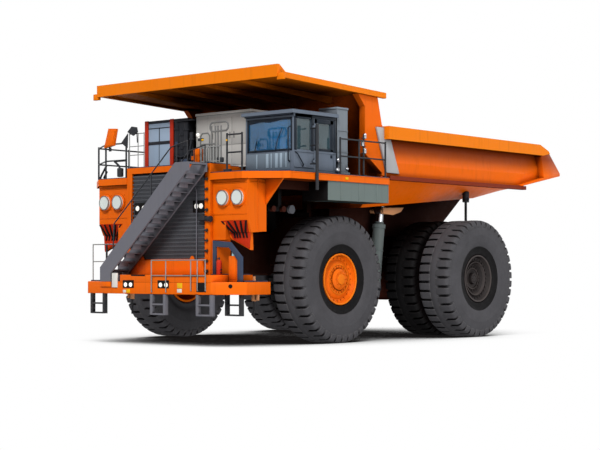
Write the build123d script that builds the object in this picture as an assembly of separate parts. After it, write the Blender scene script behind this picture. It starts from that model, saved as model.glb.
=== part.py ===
from build123d import *
import os
from math import asin, cos, pi, sin

# Rigid mining dump truck of the 57-inch tyre class, in millimetres.
# X runs forward, Y to the driver's left, Z up from the ground.
# A place called "ahead" is measured forward from the rear axle.

# Overall layout
wheelbase = 5840
bumper_ahead = 10010
tail_behind = 5400
rear_axle_x = (tail_behind - bumper_ahead) / 2
seat_gap = 0.3

# Tyres and rims
tyre_radius = 1800
tyre_width = 1110
tread_width = 1050
lug_depth = 75
lugs_round = 24
shoulder_taper = 90
flank_scale = 0.93
dish_radius = 1220
lug_share = 0.68
bead_radius = 725
bead_width = 800
front_wheel_y = 3074
rear_wheel_y = 3739
dual_spacing = 1290
lug_pitch = 2 * pi / lugs_round
lug_half = tyre_radius * lug_pitch / 2 * lug_share
lug_half_angle = asin(lug_half / tyre_radius)
axle_height = tyre_radius * cos(lug_half_angle)

# Steering
kingpin_y = 2050
steer_arm = 620
tie_rod_radius = 60
tie_pin_radius = 45

# Chassis
rail_y = 925
rail_width = 350
rail_bottom = 1950
rail_top = 3100
rail_arch = 2560
rail_front_ahead = 8329.7
rail_back_behind = 2050
rear_strut_y = 1460
rear_strut_radius = 140

# Body, hinged behind the rear axle
pivot_behind = 1700
pivot_height = 2900
pivot_radius = 120
body_front_ahead = 3800
body_half_width = 3600
floor_half_width = 2700
body_wall = 90
rim_height = 6230
rim_depth = 390
rim_half_width = 3800
ledge_height = 4800
floor_front_height = 3900
kick_behind = 1850
floor_kick_height = 4380
ledge_end_behind = 3450
floor_ledge_end_height = 4700
floor_tail_height = 5210
ledge_tail_height = 5300

# Canopy over the deck and cab
canopy_ahead = 8620
canopy_back_ahead = 3900
canopy_half_width = 3640
canopy_front_height = 7390
canopy_back_height = 7200
canopy_thick = 160
canopy_skin = 90
canopy_lip_top = 7560
canopy_lip_depth = 340

# Hoist
hoist_y = 1600
hoist_foot_ahead = 1900
hoist_foot_height = 1500
hoist_eye_ahead = 1620
hoist_eye_drop = 185
hoist_radius = 190
hoist_eye_radius = 130

# Deck and front face
deck_height = 4700
deck_overhang = 300
deck_half_width = body_half_width + deck_overhang
deck_beam = 190
skirt_bottom = deck_height - deck_beam
deck_front_ahead = 9200
deck_corner_back = 800
deck_corner_in = 1000
deck_back_ahead = 4080
face_ahead = 9180
centre_height = 4970
grille_half_width = 1470
post_width = 210
grille_bottom = 2360
grille_slats = 22

# Bumper
bumper_half_width = 2480
bumper_end_half_width = 3200
bumper_end_ahead = 9340
bumper_back_ahead = 8330
bumper_bottom = 1390
bumper_low_top = 1730
bumper_high_top = 1920
bumper_high_from = -1110
apron_half_width = 1440
apron_top = 2330
apron_thick = 80
guard_ahead = bumper_end_ahead - 90

# Stair across the front
stair_foot_y = -1680
stair_head_y = 1380
stair_tread_count = 12
stair_width = 620
tread_half = 120
tread_thick = 35
stringer_thick = 50
stringer_depth = 450

# Headlamp housings
housing_ahead = 9080
housing_inner_y = 1680
housing_outer_y = 3000
lamp_height = 4010
lamp_inner_y = 2122
lamp_outer_y = 2677
lamp_radius = 205

# Cab
cab_front_ahead = 7950
cab_back_ahead = 6180
cab_outer_y = deck_half_width - 260
cab_inner_y = cab_outer_y - 1790
cab_floor = deck_height + seat_gap
cab_roof = 6300
cab_wall = 60
cab_roof_thick = 90
cab_sill = 5330
cab_head = 6180

# Control cabinet and grid box on the deck
cabinet_front_ahead = 7600
cabinet_back_ahead = 5900
cabinet_left_y = 1700
cabinet_right_y = -450
cabinet_top = 6550
grid_front_ahead = 7700
grid_back_ahead = 5900
grid_left_y = -700
grid_right_y = -2500
grid_top = 6480

handrail_radius = 22
handrail_height = 1050


def x_at(ahead):
    return rear_axle_x + ahead


def block(x0, x1, y0, y1, z0, z1):
    """A rectangular solid between two corners; x0 and x1 are 'ahead' places."""
    middle = ((x_at(x0) + x_at(x1)) / 2, (y0 + y1) / 2, (z0 + z1) / 2)
    return Pos(*middle) * Box(abs(x1 - x0), abs(y1 - y0), abs(z1 - z0))


def side_plate(outline, y0, y1):
    """An outline of (ahead, height) points, thick from y0 to y1."""
    plane = Plane(origin=(0, y0, 0), x_dir=(1, 0, 0), z_dir=(0, -1, 0))
    face = make_face(plane * Polyline(*[(x_at(a), z) for a, z in outline], close=True))
    return extrude(face, amount=y1 - y0, dir=(0, 1, 0))


def cross_plate(outline, x0, x1):
    """An outline of (y, z) points, thick from x0 to x1 ahead."""
    face = make_face(Plane.YZ.offset(x_at(x0)) * Polyline(*outline, close=True))
    return extrude(face, amount=x1 - x0, dir=(1, 0, 0))


def flat_plate(outline, z0, z1):
    """An outline of (ahead, y) points, thick from z0 to z1."""
    face = make_face(Plane.XY.offset(z0) * Polyline(*[(x_at(a), y) for a, y in outline], close=True))
    return extrude(face, amount=z1 - z0, dir=(0, 0, 1))


def rod(start, end, radius):
    """A round bar between two (ahead, y, z) points."""
    p = Vector(x_at(start[0]), start[1], start[2])
    q = Vector(x_at(end[0]), end[1], end[2])
    return Solid.make_cylinder(radius, (q - p).length, Plane(origin=p, z_dir=q - p))


def bent_pipe(points, radius):
    """A round bar with mitred corners through (ahead, y, z) points."""
    places = [Vector(x_at(a), y, z) for a, y, z in points]
    start = Plane(origin=places[0], z_dir=places[1] - places[0])
    return sweep(start * Circle(radius), path=Polyline(*places), transition=Transition.RIGHT)


def turned(profile):
    """A revolved solid about the Y axis from (radius, place along Y) points."""
    face = make_face(Polyline(*profile, close=True))
    return revolve(face, Axis.Y, 360)


def mirrored(shape):
    return mirror(shape, about=Plane.XZ)


def both(shape):
    return [shape, mirrored(shape)]


parts = {}


def keep(name, *shapes):
    """Files one or more solids under a node's name."""
    solids = []
    for shape in shapes:
        solids += shape.solids()
    parts[name] = Compound(children=[Solid(s.wrapped) for s in solids])


def keep_pair(name, shape):
    """Files a left-hand solid and its mirrored right-hand twin."""
    keep(name + "_left", shape)
    keep(name + "_right", mirrored(shape))


# Tyres: straight lugs over a flat-sided bead, standing on the flat top of one lug
groove_radius = tyre_radius - lug_depth
groove_half_angle = lug_pitch / 2 - asin(lug_half / groove_radius)
shoulder = tread_width / 2 - shoulder_taper
bulge = tyre_width / 2


def lug_ring(y, scale):
    """A face across the wheel's axis with a tooth for each lug, at one place along it."""
    points = []
    for i in range(lugs_round):
        middle = i * lug_pitch - pi / 2
        for radius, angle in (
            (groove_radius, middle - lug_pitch / 2 + groove_half_angle),
            (tyre_radius, middle - lug_half_angle),
            (tyre_radius, middle + lug_half_angle),
            (groove_radius, middle + lug_pitch / 2 - groove_half_angle),
        ):
            points.append((radius * scale * cos(angle), y, radius * scale * sin(angle)))
    return make_face(Polyline(*points, close=True))


def bead_ring(radius, y):
    """A regular outline round the wheel's axis that clears a circle of this radius."""
    plane = Plane(origin=(0, y, 0), x_dir=(1, 0, 0), z_dir=(0, 1, 0))
    return plane * RegularPolygon(radius, lugs_round, major_radius=False)


tread = extrude(lug_ring(-shoulder, 1), amount=2 * shoulder, dir=(0, 1, 0))
flank = loft([lug_ring(shoulder, 1), lug_ring(bulge, flank_scale)], ruled=True)
bead_hole = loft([bead_ring(bead_radius, -bulge - 10), bead_ring(bead_radius, bulge + 10)], ruled=True)
side_dish = loft([bead_ring(bead_radius, bead_width / 2), bead_ring(dish_radius, bulge + 10)], ruled=True)
tyre = tread.fuse(flank, mirror(flank, about=Plane.XZ))
tyre = tyre - bead_hole - side_dish - mirror(side_dish, about=Plane.XZ)

# Rims: dished wheel discs, one on each front hub and one long one for the rear pair
rim_seat = bead_radius - seat_gap
running_gap = 0.5
hub_back = 330
hub_seat_end = 60
stub_radius = 150
front_rim = turned(
    [
        (rim_seat, -bead_width / 2 - 30),
        (rim_seat, bead_width / 2 + 30),
        (rim_seat - 45, bead_width / 2 + 30),
        (rim_seat - 90, bead_width / 2 - 60),
        (560, bead_width / 2 - 90),
        (430, bead_width / 2 - 20),
        (330, bead_width / 2 - 20),
        (330, bead_width / 2 - 160),
        (250, bead_width / 2 - 160),
        (250, -60),
        (560, -120),
        (rim_seat - 60, -bead_width / 2 - 30),
    ]
)
front_hub = turned(
    [
        (0, -hub_seat_end),
        (stub_radius + running_gap, -hub_seat_end),
        (stub_radius + running_gap, -hub_back),
        (235, -hub_back),
        (235, -70),
        (260, -60),
        (260, bead_width / 2 - 160),
        (335, bead_width / 2 - 160),
        (335, bead_width / 2 - 40),
        (300, bead_width / 2 - 40),
        (300, bead_width / 2 + 10),
        (230, bead_width / 2 + 60),
        (0, bead_width / 2 + 60),
    ]
)


def at_wheel(shape, ahead, y, flip=False):
    """Places a shape made at the origin on a wheel centre; flip faces it right."""
    if flip:
        shape = mirrored(shape)
    return Pos(x_at(ahead), y, axle_height) * shape


keep("front_tyre_left", at_wheel(tyre, wheelbase, front_wheel_y))
keep("front_tyre_right", at_wheel(tyre, wheelbase, -front_wheel_y, True))
front_wheel = front_rim.fuse(front_hub)
keep("front_rim_left", at_wheel(front_wheel, wheelbase, front_wheel_y))
keep("front_rim_right", at_wheel(front_wheel, wheelbase, -front_wheel_y, True))

inner_wheel_y = rear_wheel_y - dual_spacing
for side, sign in (("left", 1), ("right", -1)):
    for place, y in (("outer", rear_wheel_y), ("inner", inner_wheel_y)):
        keep(f"rear_tyre_{place}_{side}", at_wheel(tyre, 0, sign * y, sign < 0))

hub_radius = 560
axle_stub_radius = 400
axle_stub_length = 390
rear_rim_out = bead_width / 2 + 30
rear_hub_back = dual_spacing - 120
rear_rim = turned(
    [
        (rim_seat, -dual_spacing - rear_rim_out),
        (rim_seat, rear_rim_out),
        (rim_seat - 45, rear_rim_out),
        (rim_seat - 90, rear_rim_out - 110),
        (hub_radius - 20, rear_rim_out - 140),
        (hub_radius - 20, -dual_spacing - rear_rim_out + 120),
        (hub_radius + 100, -dual_spacing - rear_rim_out),
    ]
)
rear_hub = turned(
    [
        (0, -rear_hub_back + axle_stub_length + 10),
        (axle_stub_radius + running_gap, -rear_hub_back + axle_stub_length + 10),
        (axle_stub_radius + running_gap, -rear_hub_back),
        (hub_radius, -rear_hub_back),
        (hub_radius, rear_rim_out - 150),
        (500, rear_rim_out - 100),
        (430, rear_rim_out - 230),
        (180, rear_rim_out - 230),
        (160, rear_rim_out - 130),
        (0, rear_rim_out - 130),
    ]
)
rear_wheel = rear_rim.fuse(rear_hub)
keep("rear_rim_left", at_wheel(rear_wheel, 0, rear_wheel_y))
keep("rear_rim_right", at_wheel(rear_wheel, 0, -rear_wheel_y, True))

# Frame: two box rails arched over the rear axle, cross tubes, strut arms and hoist feet
rail_in = rail_y - rail_width / 2
rail_out = rail_y + rail_width / 2
rail = side_plate(
    [
        (rail_front_ahead, rail_bottom - 200),
        (rail_front_ahead, rail_top - 500),
        (rail_front_ahead - 400, rail_top),
        (-pivot_behind + 100, rail_top),
        (-rail_back_behind, rail_top - 100),
        (-rail_back_behind, rail_arch + 150),
        (-rail_back_behind + 200, rail_arch),
        (750, rail_arch),
        (1500, rail_bottom),
        (rail_front_ahead - 400, rail_bottom),
    ],
    rail_in,
    rail_out,
)
cross_tubes = [
    rod((ahead, -rail_in - 60, height), (ahead, rail_in + 60, height), radius)
    for ahead, height, radius in (
        (wheelbase, 2015, 120),
        (3700, 2400, 190),
        (1250, 2500, 150),
        (-1400, 2790, 170),
    )
]
strut_radius = 230
strut_bottom = 2550
strut_top = 3700
strut_arm = cross_plate(
    [
        (rail_out - 40, rail_bottom + 200),
        (rail_out - 40, rail_top - 40),
        (kingpin_y - 350, strut_top - 140),
        (kingpin_y + 300, strut_top - 140),
        (kingpin_y + 300, strut_bottom + 150),
        (kingpin_y - 200, strut_bottom + 150),
    ],
    wheelbase - 290,
    wheelbase + 290,
)
strut_hole = rod(
    (wheelbase, kingpin_y, strut_bottom - 500),
    (wheelbase, kingpin_y, strut_top + 500),
    strut_radius + seat_gap,
)
rear_strut_arm = block(-260, 260, rail_out - 20, rear_strut_y + 190, rail_top - 200, rail_top - 10)
foot_plate = side_plate(
    [
        (hoist_foot_ahead - 380, rail_bottom + 150),
        (hoist_foot_ahead - 200, hoist_foot_height - 150),
        (hoist_foot_ahead + 200, hoist_foot_height - 150),
        (hoist_foot_ahead + 380, rail_bottom + 150),
    ],
    rail_out - 90,
    rail_out,
)
hoist_pin_radius = 70
foot_pin = rod(
    (hoist_foot_ahead, rail_out - 40, hoist_foot_height),
    (hoist_foot_ahead, hoist_y + 200, hoist_foot_height),
    hoist_pin_radius,
)
pivot_hole = rod(
    (-pivot_behind, rail_out - 130, pivot_height),
    (-pivot_behind, 2000, pivot_height),
    pivot_radius + seat_gap,
)
one_side = rail.fuse(strut_arm - strut_hole, rear_strut_arm, foot_plate, foot_pin) - pivot_hole
frame = one_side.fuse(mirrored(one_side), *cross_tubes)
keep("frame", frame)
pivot_pin = rod(
    (-pivot_behind, rail_out - 130 + seat_gap, pivot_height),
    (-pivot_behind, rail_out + 190, pivot_height),
    pivot_radius,
)
keep("body_pivot_pins", *both(pivot_pin))

# Front struts hang in the frame's arms; each spindle turns in its strut
piston_radius = 120
piston_top = strut_bottom + 400
front_strut = rod((wheelbase, kingpin_y, strut_bottom), (wheelbase, kingpin_y, strut_top), strut_radius)
piston_hole = rod(
    (wheelbase, kingpin_y, strut_bottom - 100),
    (wheelbase, kingpin_y, piston_top + 10),
    piston_radius + running_gap,
)
arm_bottom = axle_height - 330
arm_top = axle_height - 200
spindle = rod(
    (wheelbase, kingpin_y, arm_bottom),
    (wheelbase, kingpin_y, strut_bottom - 10),
    strut_radius - 40,
)
spindle = spindle.fuse(
    rod((wheelbase, kingpin_y, strut_bottom - 20), (wheelbase, kingpin_y, piston_top), piston_radius),
    rod((wheelbase, kingpin_y, axle_height), (wheelbase, front_wheel_y - hub_back - 5, axle_height), 210),
    rod(
        (wheelbase, kingpin_y, axle_height),
        (wheelbase, front_wheel_y - hub_seat_end - 10, axle_height),
        stub_radius,
    ),
    block(wheelbase - steer_arm - 90, wheelbase, kingpin_y - 110, kingpin_y + 60, arm_bottom, arm_top),
)
arm_hole = rod(
    (wheelbase - steer_arm, kingpin_y, arm_bottom - 100),
    (wheelbase - steer_arm, kingpin_y, axle_height),
    tie_pin_radius + running_gap,
)
keep_pair("spindle", spindle - arm_hole)

# Tie rod behind the axle joins both steering arms
tie_z = arm_bottom - 90
tie_rod = rod(
    (wheelbase - steer_arm, -kingpin_y, tie_z),
    (wheelbase - steer_arm, kingpin_y, tie_z),
    tie_rod_radius,
)
tie_pin = rod(
    (wheelbase - steer_arm, kingpin_y, tie_z),
    (wheelbase - steer_arm, kingpin_y, arm_top - 5),
    tie_pin_radius,
)
keep("tie_rod", tie_rod.fuse(tie_pin, mirrored(tie_pin)))

# Rear axle: housing between the wheel hubs, with its nose frame and strut seats
axle_end = rear_wheel_y - rear_hub_back - 5
stub_end = axle_end + axle_stub_length
housing_half = [
    (0, stub_end),
    (axle_stub_radius, stub_end),
    (axle_stub_radius, axle_end),
    (480, axle_end),
    (480, 1500),
    (640, 1300),
    (700, 600),
]
axle_housing = turned(housing_half + [(r, -y) for r, y in reversed(housing_half)])
nose = block(550, 2600, -330, 330, axle_height - 360, axle_height + 120)
nose_pin = rod((2500, -420, axle_height - 100), (2500, 420, axle_height - 100), 150)
strut_seat_top = axle_height + 680
strut_seat = block(-200, 200, rear_strut_y - 170, rear_strut_y + 170, axle_height, strut_seat_top)
keep("rear_axle", at_wheel(axle_housing, 0, 0).fuse(nose, nose_pin, strut_seat, mirrored(strut_seat)))
rear_strut = rod(
    (0, rear_strut_y, strut_seat_top + seat_gap),
    (0, rear_strut_y, rail_top - 200 - seat_gap),
    rear_strut_radius,
)
keep("suspension_struts", *both(front_strut - piston_hole), *both(rear_strut))

# Engine and alternator stand between the rails behind the radiator
engine_back = wheelbase - 340
engine_front = engine_back + 2700
engine_bottom = rail_bottom + 200
engine_top = skirt_bottom - 260
engine = block(engine_back, engine_front, -rail_in + seat_gap, rail_in - seat_gap, engine_bottom, engine_top)
alternator = rod(
    (engine_back - 1250, 0, engine_bottom + 600),
    (engine_back - seat_gap, 0, engine_bottom + 600),
    640,
)
keep("engine", engine, alternator)

# Tanks under the decks
tank_back_ahead = deck_back_ahead + 20
tank_front_ahead = tank_back_ahead + 2700
tank_outer_y = deck_half_width - 20
tank_inner_y = tank_outer_y - 930
tank_bottom = skirt_bottom - 530
tank = block(
    tank_back_ahead,
    tank_front_ahead,
    tank_inner_y,
    tank_outer_y,
    tank_bottom,
    skirt_bottom - seat_gap,
)
fuel_ahead = 2760
fuel_height = 2450
fuel_tank = rod(
    (fuel_ahead, -rail_out - seat_gap, fuel_height),
    (fuel_ahead, -rail_out - 1050, fuel_height),
    520,
)
keep("tanks", *both(tank), fuel_tank)

# Body tub: a lofted shell of (ahead, floor, ledge) stations, cut to its side outline
stations = [
    (body_front_ahead, floor_front_height, ledge_height),
    (-kick_behind, floor_kick_height, ledge_height),
    (-ledge_end_behind, floor_ledge_end_height, ledge_height),
    (-tail_behind, floor_tail_height, ledge_tail_height),
]


def floor_at(ahead):
    """Height of the floor's underside at one place along the body."""
    for front, back in zip(stations, stations[1:]):
        if ahead >= back[0] or back is stations[-1]:
            share = (front[0] - ahead) / (front[0] - back[0])
            return front[1] + (back[1] - front[1]) * share


def tub_section(ahead, floor, ledge, inset, top):
    """One cross-section of the tub, shrunk by inset and open above top."""
    right = [
        (floor_half_width - inset, floor + inset),
        (body_half_width - 50 - inset, ledge + inset * 0.3),
        (body_half_width - inset, ledge + 400),
        (body_half_width - 130 - inset, top),
    ]
    points = right + [(-y, z) for y, z in reversed(right)]
    return make_face(Plane.YZ.offset(x_at(ahead)) * Polyline(*points, close=True))


def tub_loft(inset, top, front, back):
    """Lofts the stations, with both ends pushed out by front and back."""
    faces = []
    for i, (ahead, floor, ledge) in enumerate(stations):
        if i == 0:
            ahead = ahead + front
        if i == len(stations) - 1:
            floor = floor_at(ahead - back)
            ledge = ledge + (floor - floor_tail_height)
            ahead = ahead - back
        faces.append(tub_section(ahead, floor, ledge, inset, top))
    pieces = [loft(faces[i:i + 2], ruled=True) for i in range(len(faces) - 1)]
    return pieces[0].fuse(*pieces[1:])


body_outline = [
    (body_front_ahead, floor_front_height - 50),
    (body_front_ahead, rim_height - rim_depth + 10),
    (-4370, rim_height - rim_depth + 10),
    (-4780, rim_height - rim_depth - 50),
    (-tail_behind, floor_tail_height + 90),
    (-tail_behind, floor_tail_height - 50),
    (-ledge_end_behind, floor_ledge_end_height - 50),
    (-kick_behind, floor_kick_height - 50),
]
tub = tub_loft(0, rim_height, 0, 0) - tub_loft(body_wall, rim_height + 50, 50, 400)
tub = tub & side_plate(body_outline, -body_half_width - 50, body_half_width + 50)
keep("body_tub", tub)

# Top rails and lower rails along the body sides
rail_low = rim_height - rim_depth + 10 + seat_gap
top_rail = side_plate(
    [
        (body_front_ahead + 170, rail_low),
        (body_front_ahead + 170, rim_height),
        (-4170, rim_height - 30),
        (-4670, rim_height - 210),
        (-4770, rim_height - 300),
        (-4380, rail_low),
    ],
    body_half_width - 240,
    rim_half_width,
)
keep("body_top_rails", *both(top_rail))
ledge = side_plate(
    [
        (body_front_ahead, ledge_height - 120),
        (body_front_ahead, ledge_height),
        (-ledge_end_behind, ledge_height),
        (-ledge_end_behind, ledge_height - 120),
    ],
    body_half_width - 50 + seat_gap,
    body_half_width + 110,
)
keep("body_lower_rails", *both(ledge))

# Front wall leans forward to the canopy, with a gusset post at each corner
canopy_slope = (canopy_front_height - canopy_back_height) / (canopy_ahead - canopy_back_ahead)


def canopy_top_at(ahead):
    return canopy_back_height + canopy_slope * (ahead - canopy_back_ahead)


wall_front = body_front_ahead + 130
post_inner_y = body_half_width - 250
front_wall = side_plate(
    [
        (body_front_ahead + seat_gap, floor_front_height),
        (wall_front, floor_front_height),
        (wall_front, 4900),
        (4560, canopy_top_at(4560) - canopy_skin - seat_gap),
        (4400, canopy_top_at(4400) - canopy_skin - seat_gap),
        (body_front_ahead + seat_gap, 5500),
    ],
    -post_inner_y,
    post_inner_y,
)
side_slope = (ledge_height - floor_front_height) / (body_half_width - 50 - floor_half_width)
wall_shape = [
    (-floor_half_width, floor_front_height),
    (floor_half_width, floor_front_height),
    (post_inner_y, floor_front_height + side_slope * (post_inner_y - floor_half_width)),
    (post_inner_y, rim_height + 1500),
    (-post_inner_y, rim_height + 1500),
    (-post_inner_y, floor_front_height + side_slope * (post_inner_y - floor_half_width)),
]
keep("body_front_wall", front_wall & cross_plate(wall_shape, body_front_ahead - 100, canopy_ahead))
post_back = body_front_ahead + 170 + seat_gap
corner_post = side_plate(
    [
        (body_front_ahead + seat_gap, ledge_height),
        (body_front_ahead + 200, ledge_height),
        (body_front_ahead + 200, 4880),
        (4780, 5400),
        (4780, 6750),
        (5100, canopy_top_at(5100) - canopy_thick - seat_gap),
        (4190, canopy_top_at(4190) - canopy_thick - seat_gap),
        (post_back + 20, rim_height + 40),
        (post_back, rim_height + 40),
        (post_back, rail_low - 50),
        (body_front_ahead + seat_gap, rail_low - 50),
    ],
    post_inner_y + seat_gap,
    body_half_width - 50,
)
keep("body_corner_posts", *both(corner_post))

# Canopy: a sloping plate with side beams, a raised front lip and ribs below
canopy_plate = side_plate(
    [
        (canopy_back_ahead, canopy_back_height - canopy_skin),
        (canopy_back_ahead, canopy_back_height),
        (canopy_ahead - 330, canopy_top_at(canopy_ahead - 330)),
        (canopy_ahead - 90, canopy_lip_top),
        (canopy_ahead, canopy_lip_top),
        (canopy_ahead, canopy_lip_top - canopy_lip_depth),
        (canopy_ahead - 60, canopy_lip_top - canopy_lip_depth),
        (canopy_ahead - 60, canopy_top_at(canopy_ahead) - canopy_skin),
    ],
    -canopy_half_width,
    canopy_half_width,
)
side_beam = side_plate(
    [
        (canopy_back_ahead, canopy_back_height - canopy_thick),
        (canopy_back_ahead, canopy_back_height - 80),
        (canopy_ahead - 70, canopy_top_at(canopy_ahead) - 80),
        (canopy_ahead - 70, canopy_top_at(canopy_ahead) - canopy_thick),
    ],
    canopy_half_width - 120,
    canopy_half_width,
)
canopy_rib = [
    side_plate(
        [
            (4600, canopy_top_at(4600) - 300),
            (4600, canopy_top_at(4600) - 80),
            (canopy_ahead - 70, canopy_top_at(canopy_ahead) - 80),
            (canopy_ahead - 70, canopy_top_at(canopy_ahead) - 170),
        ],
        y - 60,
        y + 60,
    )
    for y in (-2100, -700, 700, 2100)
]
canopy = canopy_plate.fuse(side_beam, mirrored(side_beam), *canopy_rib)
keep("canopy", canopy)

# Body beams over the rails, with an ear outside each rail for the pivot pin
pad_gap = 10
ear_gap = 12
beam_out = rail_out + 160
ear_bottom = pivot_height - 200
body_beam = side_plate(
    [
        (body_front_ahead - 150, rail_top + pad_gap),
        (body_front_ahead - 150, floor_at(body_front_ahead - 150) - seat_gap),
        (-kick_behind, floor_at(-kick_behind) - seat_gap),
        (-3300, floor_at(-3300) - seat_gap),
        (-3300, floor_at(-3300) - 160),
        (-pivot_behind - 260, 3450),
        (-pivot_behind + 400, 3300),
        (-pivot_behind + 500, rail_top + pad_gap),
    ],
    rail_in + 10,
    beam_out,
)
ear = side_plate(
    [
        (-pivot_behind + 800, 3300),
        (-pivot_behind + 800, rail_top + pad_gap),
        (-pivot_behind + 200, ear_bottom),
        (-pivot_behind - 200, ear_bottom),
        (-pivot_behind - 260, pivot_height + 100),
        (-pivot_behind - 260, 3500),
        (-pivot_behind + 400, 3500),
    ],
    rail_out + ear_gap,
    beam_out,
)
ear_hole = rod(
    (-pivot_behind, 0, pivot_height),
    (-pivot_behind, beam_out + 100, pivot_height),
    pivot_radius + running_gap,
)
keep("body_beams", *both(body_beam.fuse(ear) - ear_hole))

# Hoist cylinders stand outside the rails: barrel, middle stage and rod
hoist_eye_height = floor_at(hoist_eye_ahead) - hoist_eye_drop
hoist_foot = Vector(x_at(hoist_foot_ahead), 0, hoist_foot_height)
hoist_eye = Vector(x_at(hoist_eye_ahead), 0, hoist_eye_height)
hoist_dir = (hoist_eye - hoist_foot).normalized()
hoist_length = (hoist_eye - hoist_foot).length


def on_hoist(distance):
    """The point this far up the cylinder's axis, as (ahead, y, z)."""
    p = hoist_foot + hoist_dir * distance
    return (p.X - rear_axle_x, hoist_y, p.Z)


barrel_end = hoist_length - 420
barrel = rod(on_hoist(0), on_hoist(barrel_end), hoist_radius)
barrel_bore = rod(on_hoist(250), on_hoist(barrel_end + 10), hoist_radius - 35)
stage_radius = hoist_radius - 35 - running_gap
rod_radius = stage_radius - 30 - running_gap
foot_eye = rod(
    (hoist_foot_ahead, hoist_y - 110, hoist_foot_height),
    (hoist_foot_ahead, hoist_y + 110, hoist_foot_height),
    200,
)
foot_bore = rod(
    (hoist_foot_ahead, hoist_y - 200, hoist_foot_height),
    (hoist_foot_ahead, hoist_y + 200, hoist_foot_height),
    hoist_pin_radius + running_gap,
)
keep_pair("hoist_barrel", barrel.fuse(foot_eye) - barrel_bore - foot_bore)
stage = rod(on_hoist(300), on_hoist(barrel_end + 60), stage_radius)
stage_bore = rod(on_hoist(290), on_hoist(barrel_end + 70), stage_radius - 30)
keep_pair("hoist_stage", stage - stage_bore)
hoist_rod = rod(on_hoist(320), on_hoist(hoist_length - 100), rod_radius)
eye_half = 130
eye_boss = rod(
    (hoist_eye_ahead, hoist_y - eye_half, hoist_eye_height),
    (hoist_eye_ahead, hoist_y + eye_half, hoist_eye_height),
    hoist_eye_radius,
)
eye_pin = rod(
    (hoist_eye_ahead, hoist_y, hoist_eye_height),
    (hoist_eye_ahead, hoist_y + eye_half + 30, hoist_eye_height),
    hoist_pin_radius,
)
keep_pair("hoist_rod", hoist_rod.fuse(eye_boss, eye_pin))
eye_bracket = rod(
    (hoist_eye_ahead, beam_out + seat_gap, hoist_eye_height),
    (hoist_eye_ahead, hoist_y - eye_half - 5, hoist_eye_height),
    hoist_pin_radius + 10,
)
keep("hoist_eye_brackets", *both(eye_bracket))

# Deck: left and right platforms and the raised centre
deck_outline = [
    (deck_back_ahead, 1250),
    (deck_back_ahead, deck_half_width),
    (deck_front_ahead - deck_corner_back, deck_half_width),
    (deck_front_ahead, deck_half_width - deck_corner_in),
    (deck_front_ahead, grille_half_width + post_width + seat_gap),
    (face_ahead - 800 - seat_gap, grille_half_width + post_width + seat_gap),
    (face_ahead - 800 - seat_gap, 1250),
]
keep("side_decks", *both(flat_plate(deck_outline, skirt_bottom, deck_height)))
centre_back_ahead = 5400
centre_front_ahead = face_ahead - 800 - seat_gap
centre_deck = block(
    centre_back_ahead,
    centre_front_ahead,
    -1250 + seat_gap,
    1250 - seat_gap,
    skirt_bottom,
    centre_height,
)
keep("centre_deck", centre_deck)

# Deck supports: portals that stand on the rails
supports = []
for ahead in (4300, 7650):
    beam = block(ahead - 110, ahead + 110, -2900, 2900, skirt_bottom - 190, skirt_bottom - seat_gap)
    legs = [
        block(ahead - 100, ahead + 100, y - 90, y + 90, rail_top + seat_gap, skirt_bottom - 180)
        for y in (-rail_y, rail_y)
    ]
    supports.append(beam.fuse(*legs))
deck_arm = block(
    tank_front_ahead + 20,
    housing_ahead - 1020,
    housing_outer_y + 100,
    housing_outer_y + 200,
    skirt_bottom - 250,
    skirt_bottom - seat_gap,
)
keep("deck_supports", *supports, *both(deck_arm))

# Radiator: orange frame, dark core and a pack of louvre slats
outer_y = grille_half_width + post_width
grille_frame = cross_plate(
    [
        (-outer_y, bumper_high_top + seat_gap),
        (-outer_y, centre_height),
        (outer_y, centre_height),
        (outer_y, bumper_high_top + seat_gap),
    ],
    face_ahead - 800,
    face_ahead,
)
grille_window = cross_plate(
    [
        (-grille_half_width, grille_bottom),
        (-grille_half_width, centre_height - 170),
        (grille_half_width, centre_height - 170),
        (grille_half_width, grille_bottom),
    ],
    face_ahead - 900,
    face_ahead + 100,
)
keep("radiator_frame", grille_frame - grille_window)
slat_pitch = (centre_height - 170 - grille_bottom) / grille_slats
slats = []
for i in range(grille_slats):
    z = grille_bottom + (i + 0.5) * slat_pitch
    slats.append(
        side_plate(
            [
                (face_ahead - 150, z + slat_pitch * 0.45),
                (face_ahead - 150, z + slat_pitch * 0.25),
                (face_ahead - 30, z - slat_pitch * 0.4),
                (face_ahead - 30, z - slat_pitch * 0.2),
            ],
            -grille_half_width + seat_gap,
            grille_half_width - seat_gap,
        )
    )
backing = block(
    face_ahead - 400,
    face_ahead - 151,
    -grille_half_width + seat_gap,
    grille_half_width - seat_gap,
    grille_bottom + seat_gap,
    centre_height - 170 - seat_gap,
)
keep("radiator_core", backing)
keep("radiator_grille", *slats)

# Headlamp housings and lamps
housing = side_plate(
    [
        (deck_front_ahead - 850, 3100),
        (deck_front_ahead - 850, skirt_bottom - seat_gap),
        (housing_ahead, skirt_bottom - seat_gap),
        (housing_ahead, 3400),
        (housing_ahead - 150, 3060),
    ],
    housing_inner_y + seat_gap,
    housing_outer_y,
)
gusset = cross_plate(
    [
        (housing_outer_y - 20, 3820),
        (housing_outer_y, 3820),
        (housing_outer_y + 640, skirt_bottom - seat_gap),
        (housing_outer_y - 20, skirt_bottom - seat_gap),
    ],
    deck_front_ahead - 850,
    deck_front_ahead - 800,
)
column = block(
    housing_ahead - 280,
    housing_ahead,
    housing_inner_y + seat_gap,
    housing_inner_y + 490,
    2870,
    3420,
)
vent_box = cross_plate(
    [
        (housing_inner_y + 300, 3420),
        (housing_outer_y - 100, 3420),
        (housing_outer_y - 60, 2590),
        (housing_inner_y + 630, 2860),
        (housing_inner_y + 400, 3000),
    ],
    housing_ahead - 280,
    housing_ahead - 160,
)
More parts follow.
